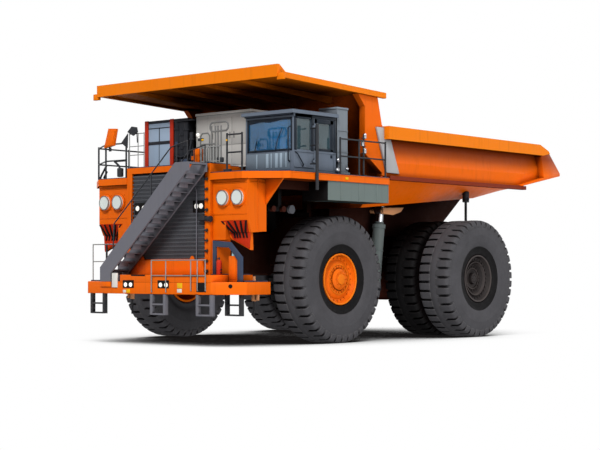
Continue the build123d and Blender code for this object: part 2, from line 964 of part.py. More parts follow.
keep("headlamp_housings", *both(housing.fuse(gusset, column, vent_box)))
lamps = []
lamp_depth = 110
for y in (lamp_inner_y, lamp_outer_y):
    lamps.append(
        rod(
            (housing_ahead + seat_gap, y, lamp_height),
            (housing_ahead + lamp_depth, y, lamp_height),
            lamp_radius,
        )
    )
keep("headlamps", *lamps, *[mirrored(lamp) for lamp in lamps])

# Bumper: a bowed beam with a taller middle, and platforms behind its ends
bumper_plan = [
    (bumper_back_ahead, bumper_end_half_width - 60),
    (bumper_end_ahead, bumper_end_half_width),
    (bumper_ahead, bumper_half_width),
    (bumper_ahead, -bumper_half_width),
    (bumper_end_ahead, -bumper_end_half_width),
    (bumper_back_ahead, -bumper_end_half_width + 60),
]
bumper = flat_plate(bumper_plan, bumper_bottom, bumper_low_top)
bumper = bumper.fuse(
    block(
        bumper_back_ahead,
        bumper_ahead,
        bumper_high_from,
        bumper_half_width,
        bumper_low_top - 10,
        bumper_high_top,
    ),
    cross_plate(
        [
            (-apron_half_width - 110, bumper_low_top - 10),
            (-apron_half_width - 110, apron_top - 180),
            (-apron_half_width + 130, apron_top),
            (apron_half_width, apron_top),
            (apron_half_width + 80, bumper_high_top - 10),
            (-apron_half_width, bumper_high_top - 10),
        ],
        face_ahead + seat_gap,
        face_ahead + apron_thick,
    ),
)
tow_pin_y = 900
tow_pin_radius = 50
tow_holes = both(
    rod(
        (bumper_ahead - 130, tow_pin_y, bumper_bottom - 50),
        (bumper_ahead - 130, tow_pin_y, bumper_high_top + 50),
        tow_pin_radius,
    )
)
locker = block(
    guard_ahead - 150,
    guard_ahead + 60,
    bumper_half_width + 20,
    bumper_half_width + 330,
    bumper_low_top + seat_gap,
    bumper_low_top + 700,
)
keep("bumper", bumper - tow_holes[0] - tow_holes[1], locker)

# Pipe guards that stand on the bumper's ends
guard_radius = 25
guard_foot = bumper_low_top + seat_gap
guard_top = bumper_low_top + 1070
left_guard = bent_pipe(
    [
        (guard_ahead, bumper_half_width - 460, bumper_high_top + seat_gap),
        (guard_ahead, bumper_half_width - 460, guard_top),
        (guard_ahead, bumper_half_width + 150, guard_top),
        (guard_ahead, bumper_half_width + 560, guard_top - 460),
        (guard_ahead, bumper_half_width + 560, guard_foot),
    ],
    guard_radius,
)
right_guard = bent_pipe(
    [
        (guard_ahead, -bumper_half_width + 540, guard_foot),
        (guard_ahead, -bumper_half_width + 540, guard_top),
        (guard_ahead, -bumper_half_width - 600, guard_top),
        (guard_ahead, -bumper_half_width - 600, guard_foot),
    ],
    guard_radius,
)
middle_post = rod(
    (guard_ahead, -bumper_half_width, guard_foot),
    (guard_ahead, -bumper_half_width, guard_top - guard_radius - seat_gap),
    guard_radius + 10,
)
keep("bumper_guards", left_guard, right_guard, middle_post)

# Boarding ladders under the bumper
rung_height = 40
ladder_foot = 820
ladder_half_width = 300
ladders = []
for y, setback in ((-2050, 0), (440, 0), (2230, 0), (2710, 620)):
    ladder = block(
        bumper_ahead - setback - 150,
        bumper_ahead - setback - 30,
        y - ladder_half_width,
        y + ladder_half_width,
        ladder_foot,
        bumper_bottom - seat_gap,
    )
    for low, high in ((ladder_foot + rung_height, 1090), (1090 + rung_height, bumper_bottom)):
        gap = ladder_half_width - 80
        ladder = ladder - block(
            bumper_ahead - setback - 200,
            bumper_ahead - setback,
            y - gap,
            y + gap,
            low,
            high,
        )
    ladders.append(ladder)
keep("boarding_ladders", *ladders)

# Stair: two stringers with treads and a landing held between them
half = stringer_depth / 2
foot_top = bumper_low_top + 400
head_bottom = centre_height - 250
landing_end_y = stair_head_y + 300
stringer_outline = [
    (stair_foot_y - half, bumper_low_top + seat_gap),
    (stair_foot_y - half, foot_top),
    (stair_head_y - half, centre_height),
    (landing_end_y, centre_height),
    (landing_end_y, head_bottom),
    (stair_head_y + half, head_bottom),
    (stair_foot_y + half, bumper_high_top + 50),
    (stair_foot_y + half, bumper_low_top + seat_gap),
]
stair_front = bumper_ahead - stringer_thick
stair_back = stair_front - stair_width
stringers = [
    cross_plate(stringer_outline, back, back + stringer_thick)
    for back in (stair_front, stair_back - stringer_thick)
]
treads = []
tread_first_height = bumper_low_top + 300
tread_last_height = centre_height - 330
for i in range(stair_tread_count):
    share = i / (stair_tread_count - 1)
    y = stair_foot_y + tread_half + share * (stair_head_y - stair_foot_y - tread_half)
    z = tread_first_height + share * (tread_last_height - tread_first_height)
    treads.append(
        block(
            stair_back + seat_gap,
            stair_front - seat_gap,
            y - tread_half,
            y + tread_half,
            z,
            z + tread_thick,
        )
    )
landing = block(
    stair_back + seat_gap,
    stair_front - seat_gap,
    stair_head_y + tread_half + 20,
    landing_end_y,
    centre_height - 60,
    centre_height,
)
keep("front_stair", *stringers, *treads, landing)

# Cab: a hollow shell with its windows cut, a door on the outer side and a roof
cab_box = block(cab_back_ahead, cab_front_ahead, cab_inner_y, cab_outer_y, cab_floor, cab_roof - seat_gap)
cab_room = block(
    cab_back_ahead + cab_wall,
    cab_front_ahead - cab_wall,
    cab_inner_y + cab_wall,
    cab_outer_y - cab_wall,
    cab_floor + cab_wall,
    cab_roof + 10,
)
door_front = cab_front_ahead - 820
door_back = cab_back_ahead + 110
door_bottom = cab_floor + 90
door_top = cab_head + 40
cut_in = 200
windscreen_hole = block(
    cab_front_ahead - cut_in,
    cab_front_ahead + 10,
    cab_inner_y + 100,
    cab_outer_y - 100,
    cab_sill,
    cab_head,
)
inner_window = block(
    cab_back_ahead + 150,
    cab_front_ahead - 150,
    cab_inner_y - 10,
    cab_inner_y + cut_in,
    cab_sill,
    cab_head,
)
rear_window = block(
    cab_back_ahead - 10,
    cab_back_ahead + cut_in,
    cab_inner_y + 250,
    cab_outer_y - 250,
    cab_sill + 100,
    cab_head,
)
door_hole = block(door_back, door_front, cab_outer_y - cut_in, cab_outer_y + 10, door_bottom, door_top)
quarter_window = block(
    door_front + 110,
    cab_front_ahead - 110,
    cab_outer_y - cut_in,
    cab_outer_y + 10,
    cab_sill,
    cab_head,
)
cab_shell = cab_box - cab_room - windscreen_hole - inner_window - rear_window - door_hole - quarter_window
roof_plate = block(
    cab_back_ahead - 60,
    cab_front_ahead + 120,
    cab_inner_y - 60,
    cab_outer_y + 60,
    cab_roof,
    cab_roof + cab_roof_thick,
)
keep("cab_roof", roof_plate)
door_gap = 8
hinge_pin_radius = 15
hinge_ahead = door_front - 4
hinge_y = cab_outer_y + 25
lug_height = 60
hinge_lugs = []
door_lugs = []
for z in (5000, 5950):
    hinge_lugs.append(
        block(hinge_ahead + 8, hinge_ahead + 80, cab_outer_y - 5, hinge_y + 20, z, z + lug_height)
    )
    hinge_lugs.append(rod((hinge_ahead, hinge_y, z), (hinge_ahead, hinge_y, z + lug_height), 22))
    hinge_lugs.append(block(hinge_ahead, hinge_ahead + 20, hinge_y - 15, hinge_y + 20, z, z + lug_height))
    hinge_lugs.append(
        rod((hinge_ahead, hinge_y, z), (hinge_ahead, hinge_y, z + 2 * lug_height), hinge_pin_radius)
    )
    low = z + lug_height + 1
    lug_top = low + lug_height - 10
    door_lug = rod((hinge_ahead, hinge_y, low), (hinge_ahead, hinge_y, lug_top), 22).fuse(
        block(hinge_ahead - 90, hinge_ahead, cab_outer_y - 5, hinge_y + 20, low, lug_top)
    )
    pin_hole = rod(
        (hinge_ahead, hinge_y, low - 10),
        (hinge_ahead, hinge_y, lug_top + 10),
        hinge_pin_radius + running_gap,
    )
    door_lugs.append(door_lug - pin_hole)
keep("cab_shell", cab_shell.fuse(*hinge_lugs))
door = block(
    door_back + door_gap,
    door_front - door_gap,
    cab_outer_y - cab_wall,
    cab_outer_y,
    door_bottom + door_gap,
    door_top - door_gap,
)
door_window = block(
    door_back + 130,
    door_front - 130,
    cab_outer_y - cut_in,
    cab_outer_y + 10,
    cab_sill + 60,
    cab_head - 80,
)
keep("cab_door", (door - door_window).fuse(*door_lugs))
seat = side_plate(
    [
        (6700, cab_floor + cab_wall + seat_gap),
        (6700, 5230),
        (6560, 5900),
        (6680, 5920),
        (6800, 5380),
        (7230, 5380),
        (7230, 5230),
        (7000, cab_floor + cab_wall + seat_gap),
    ],
    cab_inner_y + 650,
    cab_inner_y + 1180,
)
dashboard = block(
    cab_front_ahead - 450,
    cab_front_ahead - cab_wall - seat_gap,
    cab_inner_y + 150,
    cab_outer_y - 150,
    cab_floor + cab_wall + seat_gap,
    cab_sill,
)
keep("cab_interior", seat, dashboard)

# Control cabinet, grid box and stack on the decks
cabinet = block(
    cabinet_back_ahead,
    cabinet_front_ahead,
    cabinet_right_y,
    cabinet_left_y,
    centre_height + seat_gap,
    cabinet_top,
)
keep("control_cabinet", cabinet)
grid_box = block(
    grid_back_ahead,
    grid_front_ahead,
    grid_right_y,
    grid_left_y,
    centre_height + seat_gap,
    grid_top,
)
keep("grid_box", grid_box)
stack_ahead = 5850
stack = block(stack_ahead - 230, stack_ahead + 230, 2950, 3600, deck_height + seat_gap, 6600)
keep("intake_tower", stack)

# Handrails round the decks
def railing(points, base):
    """Posts at each (ahead, y) point, with two rails seated between neighbours."""
    post_radius = handrail_radius + 5
    reach = post_radius + seat_gap
    bars = []
    for a, y in points:
        bars.append(rod((a, y, base + seat_gap), (a, y, base + handrail_height), post_radius))
    for start, end in zip(points, points[1:]):
        run = Vector(end[0] - start[0], end[1] - start[1], 0)
        trim = run.normalized() * reach
        for height in (0.5, 0.96):
            z = base + handrail_height * height
            low = (start[0] + trim.X, start[1] + trim.Y, z)
            high = (end[0] - trim.X, end[1] - trim.Y, z)
            bars.append(rod(low, high, handrail_radius))
    return bars


edge = deck_half_width - 60
front_edge = deck_front_ahead - 60
corner_ahead = deck_front_ahead - deck_corner_back - 30
right_rail = railing(
    [
        (4600, -edge),
        (5900, -edge),
        (7150, -edge),
        (corner_ahead, -edge),
        (front_edge, -edge + deck_corner_in + 200),
        (front_edge, -grille_half_width - 290),
    ],
    deck_height,
)
left_rail = railing([(4200, edge), (5400, edge), (cab_back_ahead + 50, edge)], deck_height)
front_rail = railing(
    [(front_edge, grille_half_width + 810), (front_edge, edge - deck_corner_in)],
    deck_height,
)
side_post_radius = 45
side_post_y = deck_half_width + side_post_radius + seat_gap
side_post = rod(
    (cab_front_ahead - 610, side_post_y, skirt_bottom - 280),
    (cab_front_ahead - 610, side_post_y, cab_roof - 280),
    side_post_radius,
)
keep("deck_handrails", *right_rail, *left_rail, *front_rail, side_post)

# The mirror on the right front corner leans against the rail there
mirror_back = front_edge + handrail_radius + seat_gap
mirror_low = deck_height + 900
right_mirror = cross_plate(
    [
        (-edge + deck_corner_in + 240, mirror_low),
        (-edge + deck_corner_in + 430, mirror_low + 560),
        (-edge + deck_corner_in + 760, mirror_low + 540),
        (-edge + deck_corner_in + 640, mirror_low + 60),
    ],
    mirror_back,
    mirror_back + 90,
)
keep("right_mirror", right_mirror)

os.makedirs("parts", exist_ok=True)
for name, shape in parts.items():
    export_step(shape, f"parts/{name}.step")
    print(name, len(shape.solids()), round(shape.volume / 1e9, 4))
print("nodes", len(parts))
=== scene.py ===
import math

import bmesh
import bpy
from mathutils import Matrix, Vector


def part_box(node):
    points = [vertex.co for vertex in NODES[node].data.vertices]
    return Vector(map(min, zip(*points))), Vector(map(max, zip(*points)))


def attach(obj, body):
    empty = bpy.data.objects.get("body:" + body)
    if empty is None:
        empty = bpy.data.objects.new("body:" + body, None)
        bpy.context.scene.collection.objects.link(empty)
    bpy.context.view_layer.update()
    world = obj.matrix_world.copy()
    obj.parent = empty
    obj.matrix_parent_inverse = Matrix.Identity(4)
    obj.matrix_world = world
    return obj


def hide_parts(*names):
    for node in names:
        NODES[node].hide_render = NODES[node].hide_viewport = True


bl_info = {
    "name": "Mining dump truck",
    "version": (1, 0, 0),
    "blender": (4, 5, 0),
    "location": "View3D > Sidebar > Dump truck",
    "description": "Dresses the packed dump truck with its tyres, lamps, rails, glass and paint",
    "category": "Object",
}

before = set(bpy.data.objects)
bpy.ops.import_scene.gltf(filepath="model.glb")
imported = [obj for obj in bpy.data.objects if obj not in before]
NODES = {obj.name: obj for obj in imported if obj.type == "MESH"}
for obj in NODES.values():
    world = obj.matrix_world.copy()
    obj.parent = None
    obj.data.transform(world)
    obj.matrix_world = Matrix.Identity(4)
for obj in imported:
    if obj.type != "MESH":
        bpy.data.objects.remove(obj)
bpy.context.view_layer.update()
REAR_AXLE_X = -2.305
WHEEL_Z = (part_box("front_tyre_left")[0][2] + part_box("front_tyre_left")[1][2]) / 2
FRONT_AXLE = 5.84
FRONT_WHEEL_Y = 3.074
REAR_WHEEL_Y = 3.739
TWIN_SPACING = 1.29
BUMPER_FACE = 9.965
STAIR_FACE = 10.01
SIDES = (("left", 1), ("right", -1))
PAINTS = {}


def at(ahead, y, z):
    """A point given by its distance ahead of the rear axle, its place to the left and its height."""
    return Vector((ahead + REAR_AXLE_X, y, z))


def tint(red, green, blue):
    """A linear colour from the 0 to 255 values of a paint chart."""
    def straight(v):
        v = v / 255
        return v / 12.92 if v <= 0.04045 else ((v + 0.055) / 1.055) ** 2.4
    return (straight(red), straight(green), straight(blue), 1.0)


class Piece:
    """Gathers the shapes of one piece in a bmesh and turns them into its object."""

    def __init__(self, name):
        self.name = name
        self.bm = bmesh.new()

    def bevel(self, edges, width, segments=2):
        """Rounds edges by width."""
        bmesh.ops.bevel(
            self.bm,
            geom=list(edges),
            offset=width,
            offset_type="OFFSET",
            segments=segments,
            profile=0.5,
            affect="EDGES",
            clamp_overlap=True,
            material=-1,
        )

    def box(self, a0, a1, y0, y1, z0, z1, bevel=0.0):
        """A block between two corners, its edges rounded by bevel."""
        low = at(min(a0, a1), min(y0, y1), min(z0, z1))
        high = at(max(a0, a1), max(y0, y1), max(z0, z1))
        place = Matrix.Translation((low + high) / 2) @ Matrix.Diagonal((*(high - low), 1.0))
        made = bmesh.ops.create_cube(self.bm, size=1.0, matrix=place)
        if bevel:
            self.bevel({e for v in made["verts"] for e in v.link_edges}, bevel)

    def bar(self, start, end, radius, sides=12, end_radius=None):
        """A round bar or cone between two points."""
        run = end - start
        turn = run.to_track_quat("Z", "Y").to_matrix().to_4x4()
        bmesh.ops.create_cone(
            self.bm,
            cap_ends=True,
            cap_tris=False,
            segments=sides,
            radius1=radius,
            radius2=radius if end_radius is None else end_radius,
            depth=run.length,
            matrix=Matrix.Translation((start + end) / 2) @ turn,
        )

    def ball(self, centre, radius, sides=10):
        """A ball round centre."""
        bmesh.ops.create_uvsphere(
            self.bm,
            u_segments=sides,
            v_segments=max(6, sides // 2 * 2 - 2),
            radius=radius,
            matrix=Matrix.Translation(centre),
        )

    def pipe(self, points, radius, sides=10):
        """Straight runs of round bar with a ball at each elbow."""
        for start, end in zip(points, points[1:]):
            self.bar(start, end, radius, sides)
        for elbow in points[1:-1]:
            self.ball(elbow, radius * 1.02, sides)

    def plate(self, outline, run, bevel=0.0):
        """A flat outline pushed along run, its edges rounded by bevel."""
        verts = [self.bm.verts.new(p) for p in outline]
        face = self.bm.faces.new(verts)
        pushed = bmesh.ops.extrude_face_region(self.bm, geom=[face], use_keep_orig=True)
        moved = [g for g in pushed["geom"] if isinstance(g, bmesh.types.BMVert)]
        bmesh.ops.translate(self.bm, verts=moved, vec=run)
        if bevel:
            self.bevel({e for v in verts + moved for e in v.link_edges}, bevel)

    def turned(self, profile, centre, steps=64, side=1, closed=False, axis="Y"):
        """A profile of (radius, reach) turned about an axis through centre; side -1 mirrors it."""
        places = [Vector((0, side * y, r)) if axis == "Y" else Vector((side * y, 0, r)) for r, y in profile]
        verts = [self.bm.verts.new(centre + p) for p in places]
        edges = [self.bm.edges.new((p, q)) for p, q in zip(verts, verts[1:])]
        if closed:
            edges.append(self.bm.edges.new((verts[-1], verts[0])))
        bmesh.ops.spin(
            self.bm,
            geom=verts + edges,
            cent=centre,
            axis=(0, 1, 0) if axis == "Y" else (1, 0, 0),
            angle=2 * math.pi,
            steps=steps,
            use_merge=True,
            use_duplicate=False,
        )

    def studs(self, centre, side, count, ring, reach, size, length):
        """Hexagon bolts in a ring about the Y axis through centre."""
        for i in range(count):
            angle = 2 * math.pi * i / count
            foot = centre + Vector((ring * math.sin(angle), side * reach, ring * math.cos(angle)))
            self.bar(foot, foot + Vector((0, side * length, 0)), size, 6)

    def disc(self, centre, facing, radius, depth, sides=28):
        """A short round plate whose back stands on centre."""
        self.bar(centre, centre + Vector(facing) * depth, radius, sides, radius * 0.9)

    def mirror(self):
        """Adds the same shapes on the truck's other side."""
        twin = bmesh.ops.duplicate(self.bm, geom=self.bm.verts[:] + self.bm.edges[:] + self.bm.faces[:])
        verts = [g for g in twin["geom"] if isinstance(g, bmesh.types.BMVert)]
        faces = [g for g in twin["geom"] if isinstance(g, bmesh.types.BMFace)]
        bmesh.ops.scale(self.bm, vec=(1, -1, 1), verts=verts)
        bmesh.ops.reverse_faces(self.bm, faces=faces)

    def done(self, paint, body="chassis", replaces=(), angle=32):
        """Writes the mesh, gives it its paint and lets it ride on a body."""
        bmesh.ops.remove_doubles(self.bm, verts=self.bm.verts[:], dist=0.00002)
        bmesh.ops.recalc_face_normals(self.bm, faces=self.bm.faces[:])
        mesh = bpy.data.meshes.new(self.name)
        self.bm.to_mesh(mesh)
        self.bm.free()
        mesh.polygons.foreach_set("use_smooth", [True] * len(mesh.polygons))
        mesh.set_sharp_from_angle(angle=math.radians(angle))
        obj = bpy.data.objects.new(self.name, mesh)
        bpy.context.scene.collection.objects.link(obj)
        mesh.materials.append(PAINTS[paint])
        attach(obj, body)
        for node in replaces:
            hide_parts(node)
        return obj


def put(tree, kind, sockets=None, **settings):
    """A new node with its settings and sockets; a socket given as a value is linked."""
    made = tree.nodes.new(kind)
    for key, value in settings.items():
        setattr(made, key, value)
    for key, value in (sockets or {}).items():
        if isinstance(value, bpy.types.NodeSocket):
            tree.links.new(value, made.inputs[key])
        else:
            made.inputs[key].default_value = value
    return made


def mixed(tree, share, first, second, blend="MIX"):
    """Colours first and second mixed by share."""
    made = tree.nodes.new("ShaderNodeMix")
    made.data_type = "RGBA"
    made.blend_type = blend
    for index, value in ((0, share), (6, first), (7, second)):
        if isinstance(value, bpy.types.NodeSocket):
            tree.links.new(value, made.inputs[index])
        else:
            made.inputs[index].default_value = value
    return made.outputs[2]


def ranged(tree, value, low, high, to_low, to_high):
    """A value carried from one range to another, held at the ends."""
    made = put(
        tree,
        "ShaderNodeMapRange",
        {"Value": value, "From Min": low, "From Max": high, "To Min": to_low, "To Max": to_high},
    )
    made.clamp = True
    return made.outputs["Result"]


def noise(tree, place, scale, detail=4.0, rough=0.6):
    """Cloudy values that follow the piece's own coordinates."""
    made = put(
        tree, "ShaderNodeTexNoise", {"Vector": place, "Scale": scale, "Detail": detail, "Roughness": rough}
    )
    return made.outputs["Fac"]


def product(tree, first, second):
    """Two values multiplied."""
    made = put(tree, "ShaderNodeMath", {0: first, 1: second}, operation="MULTIPLY")
    return made.outputs[0]


def scaled(colour, share, lift=0.0):
    """A colour scaled by share and raised by lift, held at full brightness."""
    return tuple(min(1.0, c * share + lift) for c in colour[:3]) + (1.0,)


def blank_paint(name):
    """A new material that holds only its output."""
    paint = bpy.data.materials.new(name)
    paint.use_nodes = True
    tree = paint.node_tree
    tree.nodes.clear()
    PAINTS[name] = paint
    return tree, tree.nodes.new("ShaderNodeOutputMaterial").inputs["Surface"]


def new_paint(name):
    """A new material with its shader and the piece's own coordinates."""
    tree, surface = blank_paint(name)
    shader = tree.nodes.new("ShaderNodeBsdfPrincipled")
    tree.links.new(shader.outputs["BSDF"], surface)
    place = tree.nodes.new("ShaderNodeTexCoord").outputs["Object"]
    return tree, shader, place


def seen_directly(tree):
    """One for rays of the camera, of mirrors and through glass, nothing for the rest."""
    path = tree.nodes.new("ShaderNodeLightPath")
    seen = path.outputs["Is Camera Ray"]
    for ray in ("Is Glossy Ray", "Is Transmission Ray"):
        seen = put(tree, "ShaderNodeMath", {0: seen, 1: path.outputs[ray]}, operation="MAXIMUM").outputs[0]
    return seen


def rounded_edges(tree, radius, start, share):
    """A normal that rounds the edges, and how far a point belongs to one."""
    rounded = put(tree, "ShaderNodeBevel", {"Radius": radius}, samples=4).outputs["Normal"]
    flat = tree.nodes.new("ShaderNodeNewGeometry").outputs["Normal"]
    along = put(tree, "ShaderNodeVectorMath", {0: rounded, 1: flat}, operation="DOT_PRODUCT").outputs["Value"]
    return rounded, ranged(tree, along, start, 0.97, share, 0.0)


def roughened(tree, shader, height, strength, distance, normal=None):
    """Raises the surface by height."""
    sockets = {"Height": height, "Strength": strength, "Distance": distance}
    if normal is not None:
        sockets["Normal"] = normal
    tree.links.new(put(tree, "ShaderNodeBump", sockets).outputs["Normal"], shader.inputs["Normal"])


def shaded(tree, shader, place, base, reach, deep, dim, belly=0.0):
    """Paints shade: sinks colour and shine toward near-black in corners and hollows within reach and on faces
    that look down; with belly set it also paints the top rail's shadow on the body side and near-black shade
    under the floor.
    """
    # painted shade: how open each point is within reach, and how far its face looks down
    open_share = put(tree, "ShaderNodeAmbientOcclusion", {"Distance": reach}, samples=8).outputs["AO"]
    flat = tree.nodes.new("ShaderNodeNewGeometry").outputs["Normal"]
    down = put(tree, "ShaderNodeSeparateXYZ", {"Vector": flat}).outputs["Z"]
    lit = product(
        tree, ranged(tree, open_share, 0.10, 0.70, deep, 1.0), ranged(tree, down, -0.97, -0.80, dim, 1.0)
    )
    if belly:
        spot = put(tree, "ShaderNodeSeparateXYZ", {"Vector": place})
        across = put(tree, "ShaderNodeMath", {0: spot.outputs["Y"]}, operation="ABSOLUTE").outputs[0]
        inner = ranged(tree, across, belly, belly + 0.05, 1.0, 0.0)
        # painted shadow of the top rail: a dark maroon band that darkens upward from 5.20 m to 5.72 m on
        # faces that do not look down
        rail_shadow = product(
            tree,
            ranged(tree, spot.outputs["Z"], 5.20, 5.72, 0.0, 0.8),
            ranged(tree, down, -0.5, -0.3, 0.0, 1.0),
        )
        base = mixed(tree, rail_shadow, base, (0.10, 0.008, 0.001, 1.0))
        # painted shade: faces that look down, below 5.1 m and within belly of the middle, turn near-black
        low = ranged(tree, spot.outputs["Z"], 5.10, 5.20, 1.0, 0.0)
        belly_shade = product(tree, product(tree, inner, low), ranged(tree, down, -0.10, 0.0, 1.0, 0.0))
        lit = product(tree, lit, ranged(tree, belly_shade, 0.0, 1.0, 1.0, 0.03))
    # the near-black colour is painted shade, and shine sinks with it
    tree.links.new(mixed(tree, lit, (0.004, 0.002, 0.002, 1.0), base), shader.inputs["Base Color"])
    tree.links.new(ranged(tree, lit, 0.45, 1.0, 0.0, 0.10), shader.inputs["Specular IOR Level"])


def coat_of_paint(
    name, colour, rough=0.42, dust=0.3, wear=0.35, fade=0.04, reach=0.7, deep=0.1, dim=0.2, belly=0.0
):
    """Machine paint: sun fading, rain streaks, dust that thickens low down, rubbed edges, and painted shade
    in corners, hollows and on faces that look down.
    """
    look = bpy.context.scene.truck_finish
    tree, shader, place = new_paint(name)
    faded = scaled(colour, 1 - fade, 0.006)
    patches = ranged(tree, noise(tree, place, 0.9, 5.0), 0.35, 0.7, 0.0, 1.0)
    base = mixed(tree, patches, colour, faded)
    long_way = put(tree, "ShaderNodeMapping", {"Vector": place, "Scale": (5.5, 5.5, 0.32)})
    streaks = ranged(tree, noise(tree, long_way.outputs["Vector"], 1.6, 6.0, 0.65), 0.54, 0.78, 0.0, 0.3)
    base = mixed(tree, streaks, base, scaled(colour, 0.42))
    height = put(tree, "ShaderNodeSeparateXYZ", {"Vector": place}).outputs["Z"]
    low_down = ranged(tree, height, 0.3, 3.6, 1.0, 0.25)
    speckle = ranged(tree, noise(tree, place, 3.4, 9.0, 0.7), 0.42, 0.75, 0.0, 1.0)
    film = product(tree, product(tree, low_down, speckle), dust * look.dust)
    base = mixed(tree, film, base, tuple(look.dust_colour) + (1.0,))
    round_edge, edge = rounded_edges(tree, 0.012, 0.80, 1.0)
    chips = ranged(tree, noise(tree, place, 14.0, 8.0, 0.75), 0.50, 0.66, 0.0, 1.0)
    rubbed = product(tree, product(tree, edge, chips), wear * look.wear)
    base = mixed(tree, rubbed, base, tint(96, 84, 76))
    # painted shade, set by reach, deep, dim and belly
    shaded(tree, shader, place, base, reach, deep, dim, belly)
    dull = ranged(tree, noise(tree, place, 5.0, 6.0), 0.3, 0.75, rough - 0.07, rough + 0.16)
    tree.links.new(dull, shader.inputs["Roughness"])
    roughened(tree, shader, noise(tree, place, 42.0, 3.0), 0.05, 0.01, round_edge)


def bare_metal(name, colour, rough=0.3):
    """Rolled or turned steel with faint smears."""
    tree, shader, place = new_paint(name)
    smears = ranged(tree, noise(tree, place, 3.0, 7.0), 0.35, 0.7, 0.0, 1.0)
    base = mixed(tree, smears, colour, scaled(colour, 0.72))
    tree.links.new(base, shader.inputs["Base Color"])
    dull = ranged(tree, noise(tree, place, 7.0, 6.0), 0.3, 0.7, rough * 0.75, rough * 1.5)
    tree.links.new(dull, shader.inputs["Roughness"])
    shader.inputs["Metallic"].default_value = 1.0
    roughened(tree, shader, noise(tree, place, 60.0, 2.0), 0.06, 0.004)


def tyre_rubber(name, colour, edge_share=0.45):
    """Dusty tread rubber: grey bloom on the sidewall, and painted shade that darkens the grooves and the
    parts hidden under the truck.
    """
    tree, shader, place = new_paint(name)
    bloom = ranged(tree, noise(tree, place, 1.7, 7.0, 0.7), 0.35, 0.72, 0.0, 1.0)
    base = mixed(tree, bloom, colour, scaled(colour, 1.28, 0.004))
    fine = ranged(tree, noise(tree, place, 22.0, 8.0, 0.75), 0.35, 0.8, 0.0, 0.4)
    base = mixed(tree, fine, base, scaled(colour, 0.7))
    round_edge, edge = rounded_edges(tree, 0.02, 0.78, edge_share)
    base = mixed(tree, edge, base, tint(132, 128, 124))
    # painted shade from occlusion within 2 m
    shaded(tree, shader, place, base, 2.0, 0.12, 1.0)
    dull = ranged(tree, noise(tree, place, 6.0, 6.0), 0.3, 0.75, 0.68, 0.9)
    tree.links.new(dull, shader.inputs["Roughness"])
    roughened(tree, shader, noise(tree, place, 30.0, 9.0, 0.8), 0.25, 0.012, round_edge)


def window_glass(name, colour, see_through):
    """Tinted glass with a thin film of dirt."""
    tree, shader, place = new_paint(name)
    sheet = ranged(tree, noise(tree, place, 1.2, 3.0), 0.35, 0.7, 0.0, 1.0)
    base = mixed(tree, sheet, colour, scaled(colour, 1.5, 0.02))
    tree.links.new(base, shader.inputs["Base Color"])
    film = ranged(tree, noise(tree, place, 5.0, 8.0), 0.4, 0.8, 0.04, 0.16)
    tree.links.new(film, shader.inputs["Roughness"])
    shader.inputs["Transmission Weight"].default_value = see_through
    shader.inputs["IOR"].default_value = 1.45
    shader.inputs["Coat Weight"].default_value = 0.6


def lamp_lens(name, colour, glow=0.0):
    """A ribbed lens that may glow."""
    tree, shader, place = new_paint(name)
    ribs = put(
        tree,
        "ShaderNodeTexWave",
        {"Vector": place, "Scale": 14.0, "Distortion": 0.0},
        wave_type="BANDS",
        bands_direction="Z",
    )
    base = mixed(tree, ranged(tree, ribs.outputs["Fac"], 0.0, 1.0, 0.0, 0.25), colour, scaled(colour, 0.72))
    tree.links.new(base, shader.inputs["Base Color"])
    shader.inputs["Roughness"].default_value = 0.12
    shader.inputs["Coat Weight"].default_value = 1.0
    shader.inputs["Coat Roughness"].default_value = 0.05
    if glow:
        shader.inputs["Emission Color"].default_value = colour
        shader.inputs["Emission Strength"].default_value = glow
    roughened(tree, shader, ribs.outputs["Fac"], 0.3, 0.004)


def seat_cloth(name, colour):
    """Woven cloth in two shades."""
    tree, shader, place = new_paint(name)
    weave = put(
        tree,
        "ShaderNodeTexChecker",
        {"Vector": place, "Scale": 160.0, "Color1": colour, "Color2": scaled(colour, 0.6)},
    )
    tree.links.new(weave.outputs["Color"], shader.inputs["Base Color"])
    shader.inputs["Roughness"].default_value = 0.9
    shader.inputs["Sheen Weight"].default_value = 0.3


def colour_setting(name, description, default):
    """A colour that the panel lets someone choose."""
    return bpy.props.FloatVectorProperty(
        name=name, description=description, subtype="COLOR", size=3, min=0, max=1, default=default[:3]
    )


class TruckFinish(bpy.types.PropertyGroup):
    """Paint and wear of the whole truck."""
    orange: colour_setting("Front orange", "Paint of the grille, bumper and decks", tint(248, 108, 0))
    body_orange: colour_setting("Body orange", "Paint of the dump body", tint(248, 108, 0))
    cab_grey: colour_setting("Cab grey", "Paint of the cab and deck plates", tint(108, 118, 132))
    tyre_grey: colour_setting("Tyre grey", "Rubber with a film of dust", tint(74, 73, 76))
    dust_colour: colour_setting("Dust", "Colour of settled dust", tint(176, 150, 120))
    dust: bpy.props.FloatProperty(
        name="Dust amount", description="How thick the dust lies", min=0, max=2, default=0.4
    )
    wear: bpy.props.FloatProperty(
        name="Edge wear", description="How far the edges are rubbed", min=0, max=2, default=0.6
    )


class TruckTyres(bpy.types.PropertyGroup):
    """Sizes of the tyres' tread."""
    lugs_round: bpy.props.IntProperty(
        name="Lugs round", description="Lugs on each shoulder", min=8, max=80, default=40
    )
    lug_share: bpy.props.FloatProperty(
        name="Lug share", description="Part of the pitch that a lug fills", min=0.3, max=0.9, default=0.72
    )
    groove_depth: bpy.props.FloatProperty(
        name="Groove depth", description="Depth of the tread", unit="LENGTH", default=0.085
    )


class TruckStage(bpy.types.PropertyGroup):
    """Light and camera."""
    key_strength: bpy.props.FloatProperty(
        name="Key lamp", description="Strength of the main lamp", min=0, default=1.9
    )
    sky_strength: bpy.props.FloatProperty(
        name="Sky", description="Strength of the even light", min=0, default=0.42
    )
    lens: bpy.props.FloatProperty(
        name="Lens", description="Focal length of the camera", subtype="DISTANCE_CAMERA", default=89.1
    )


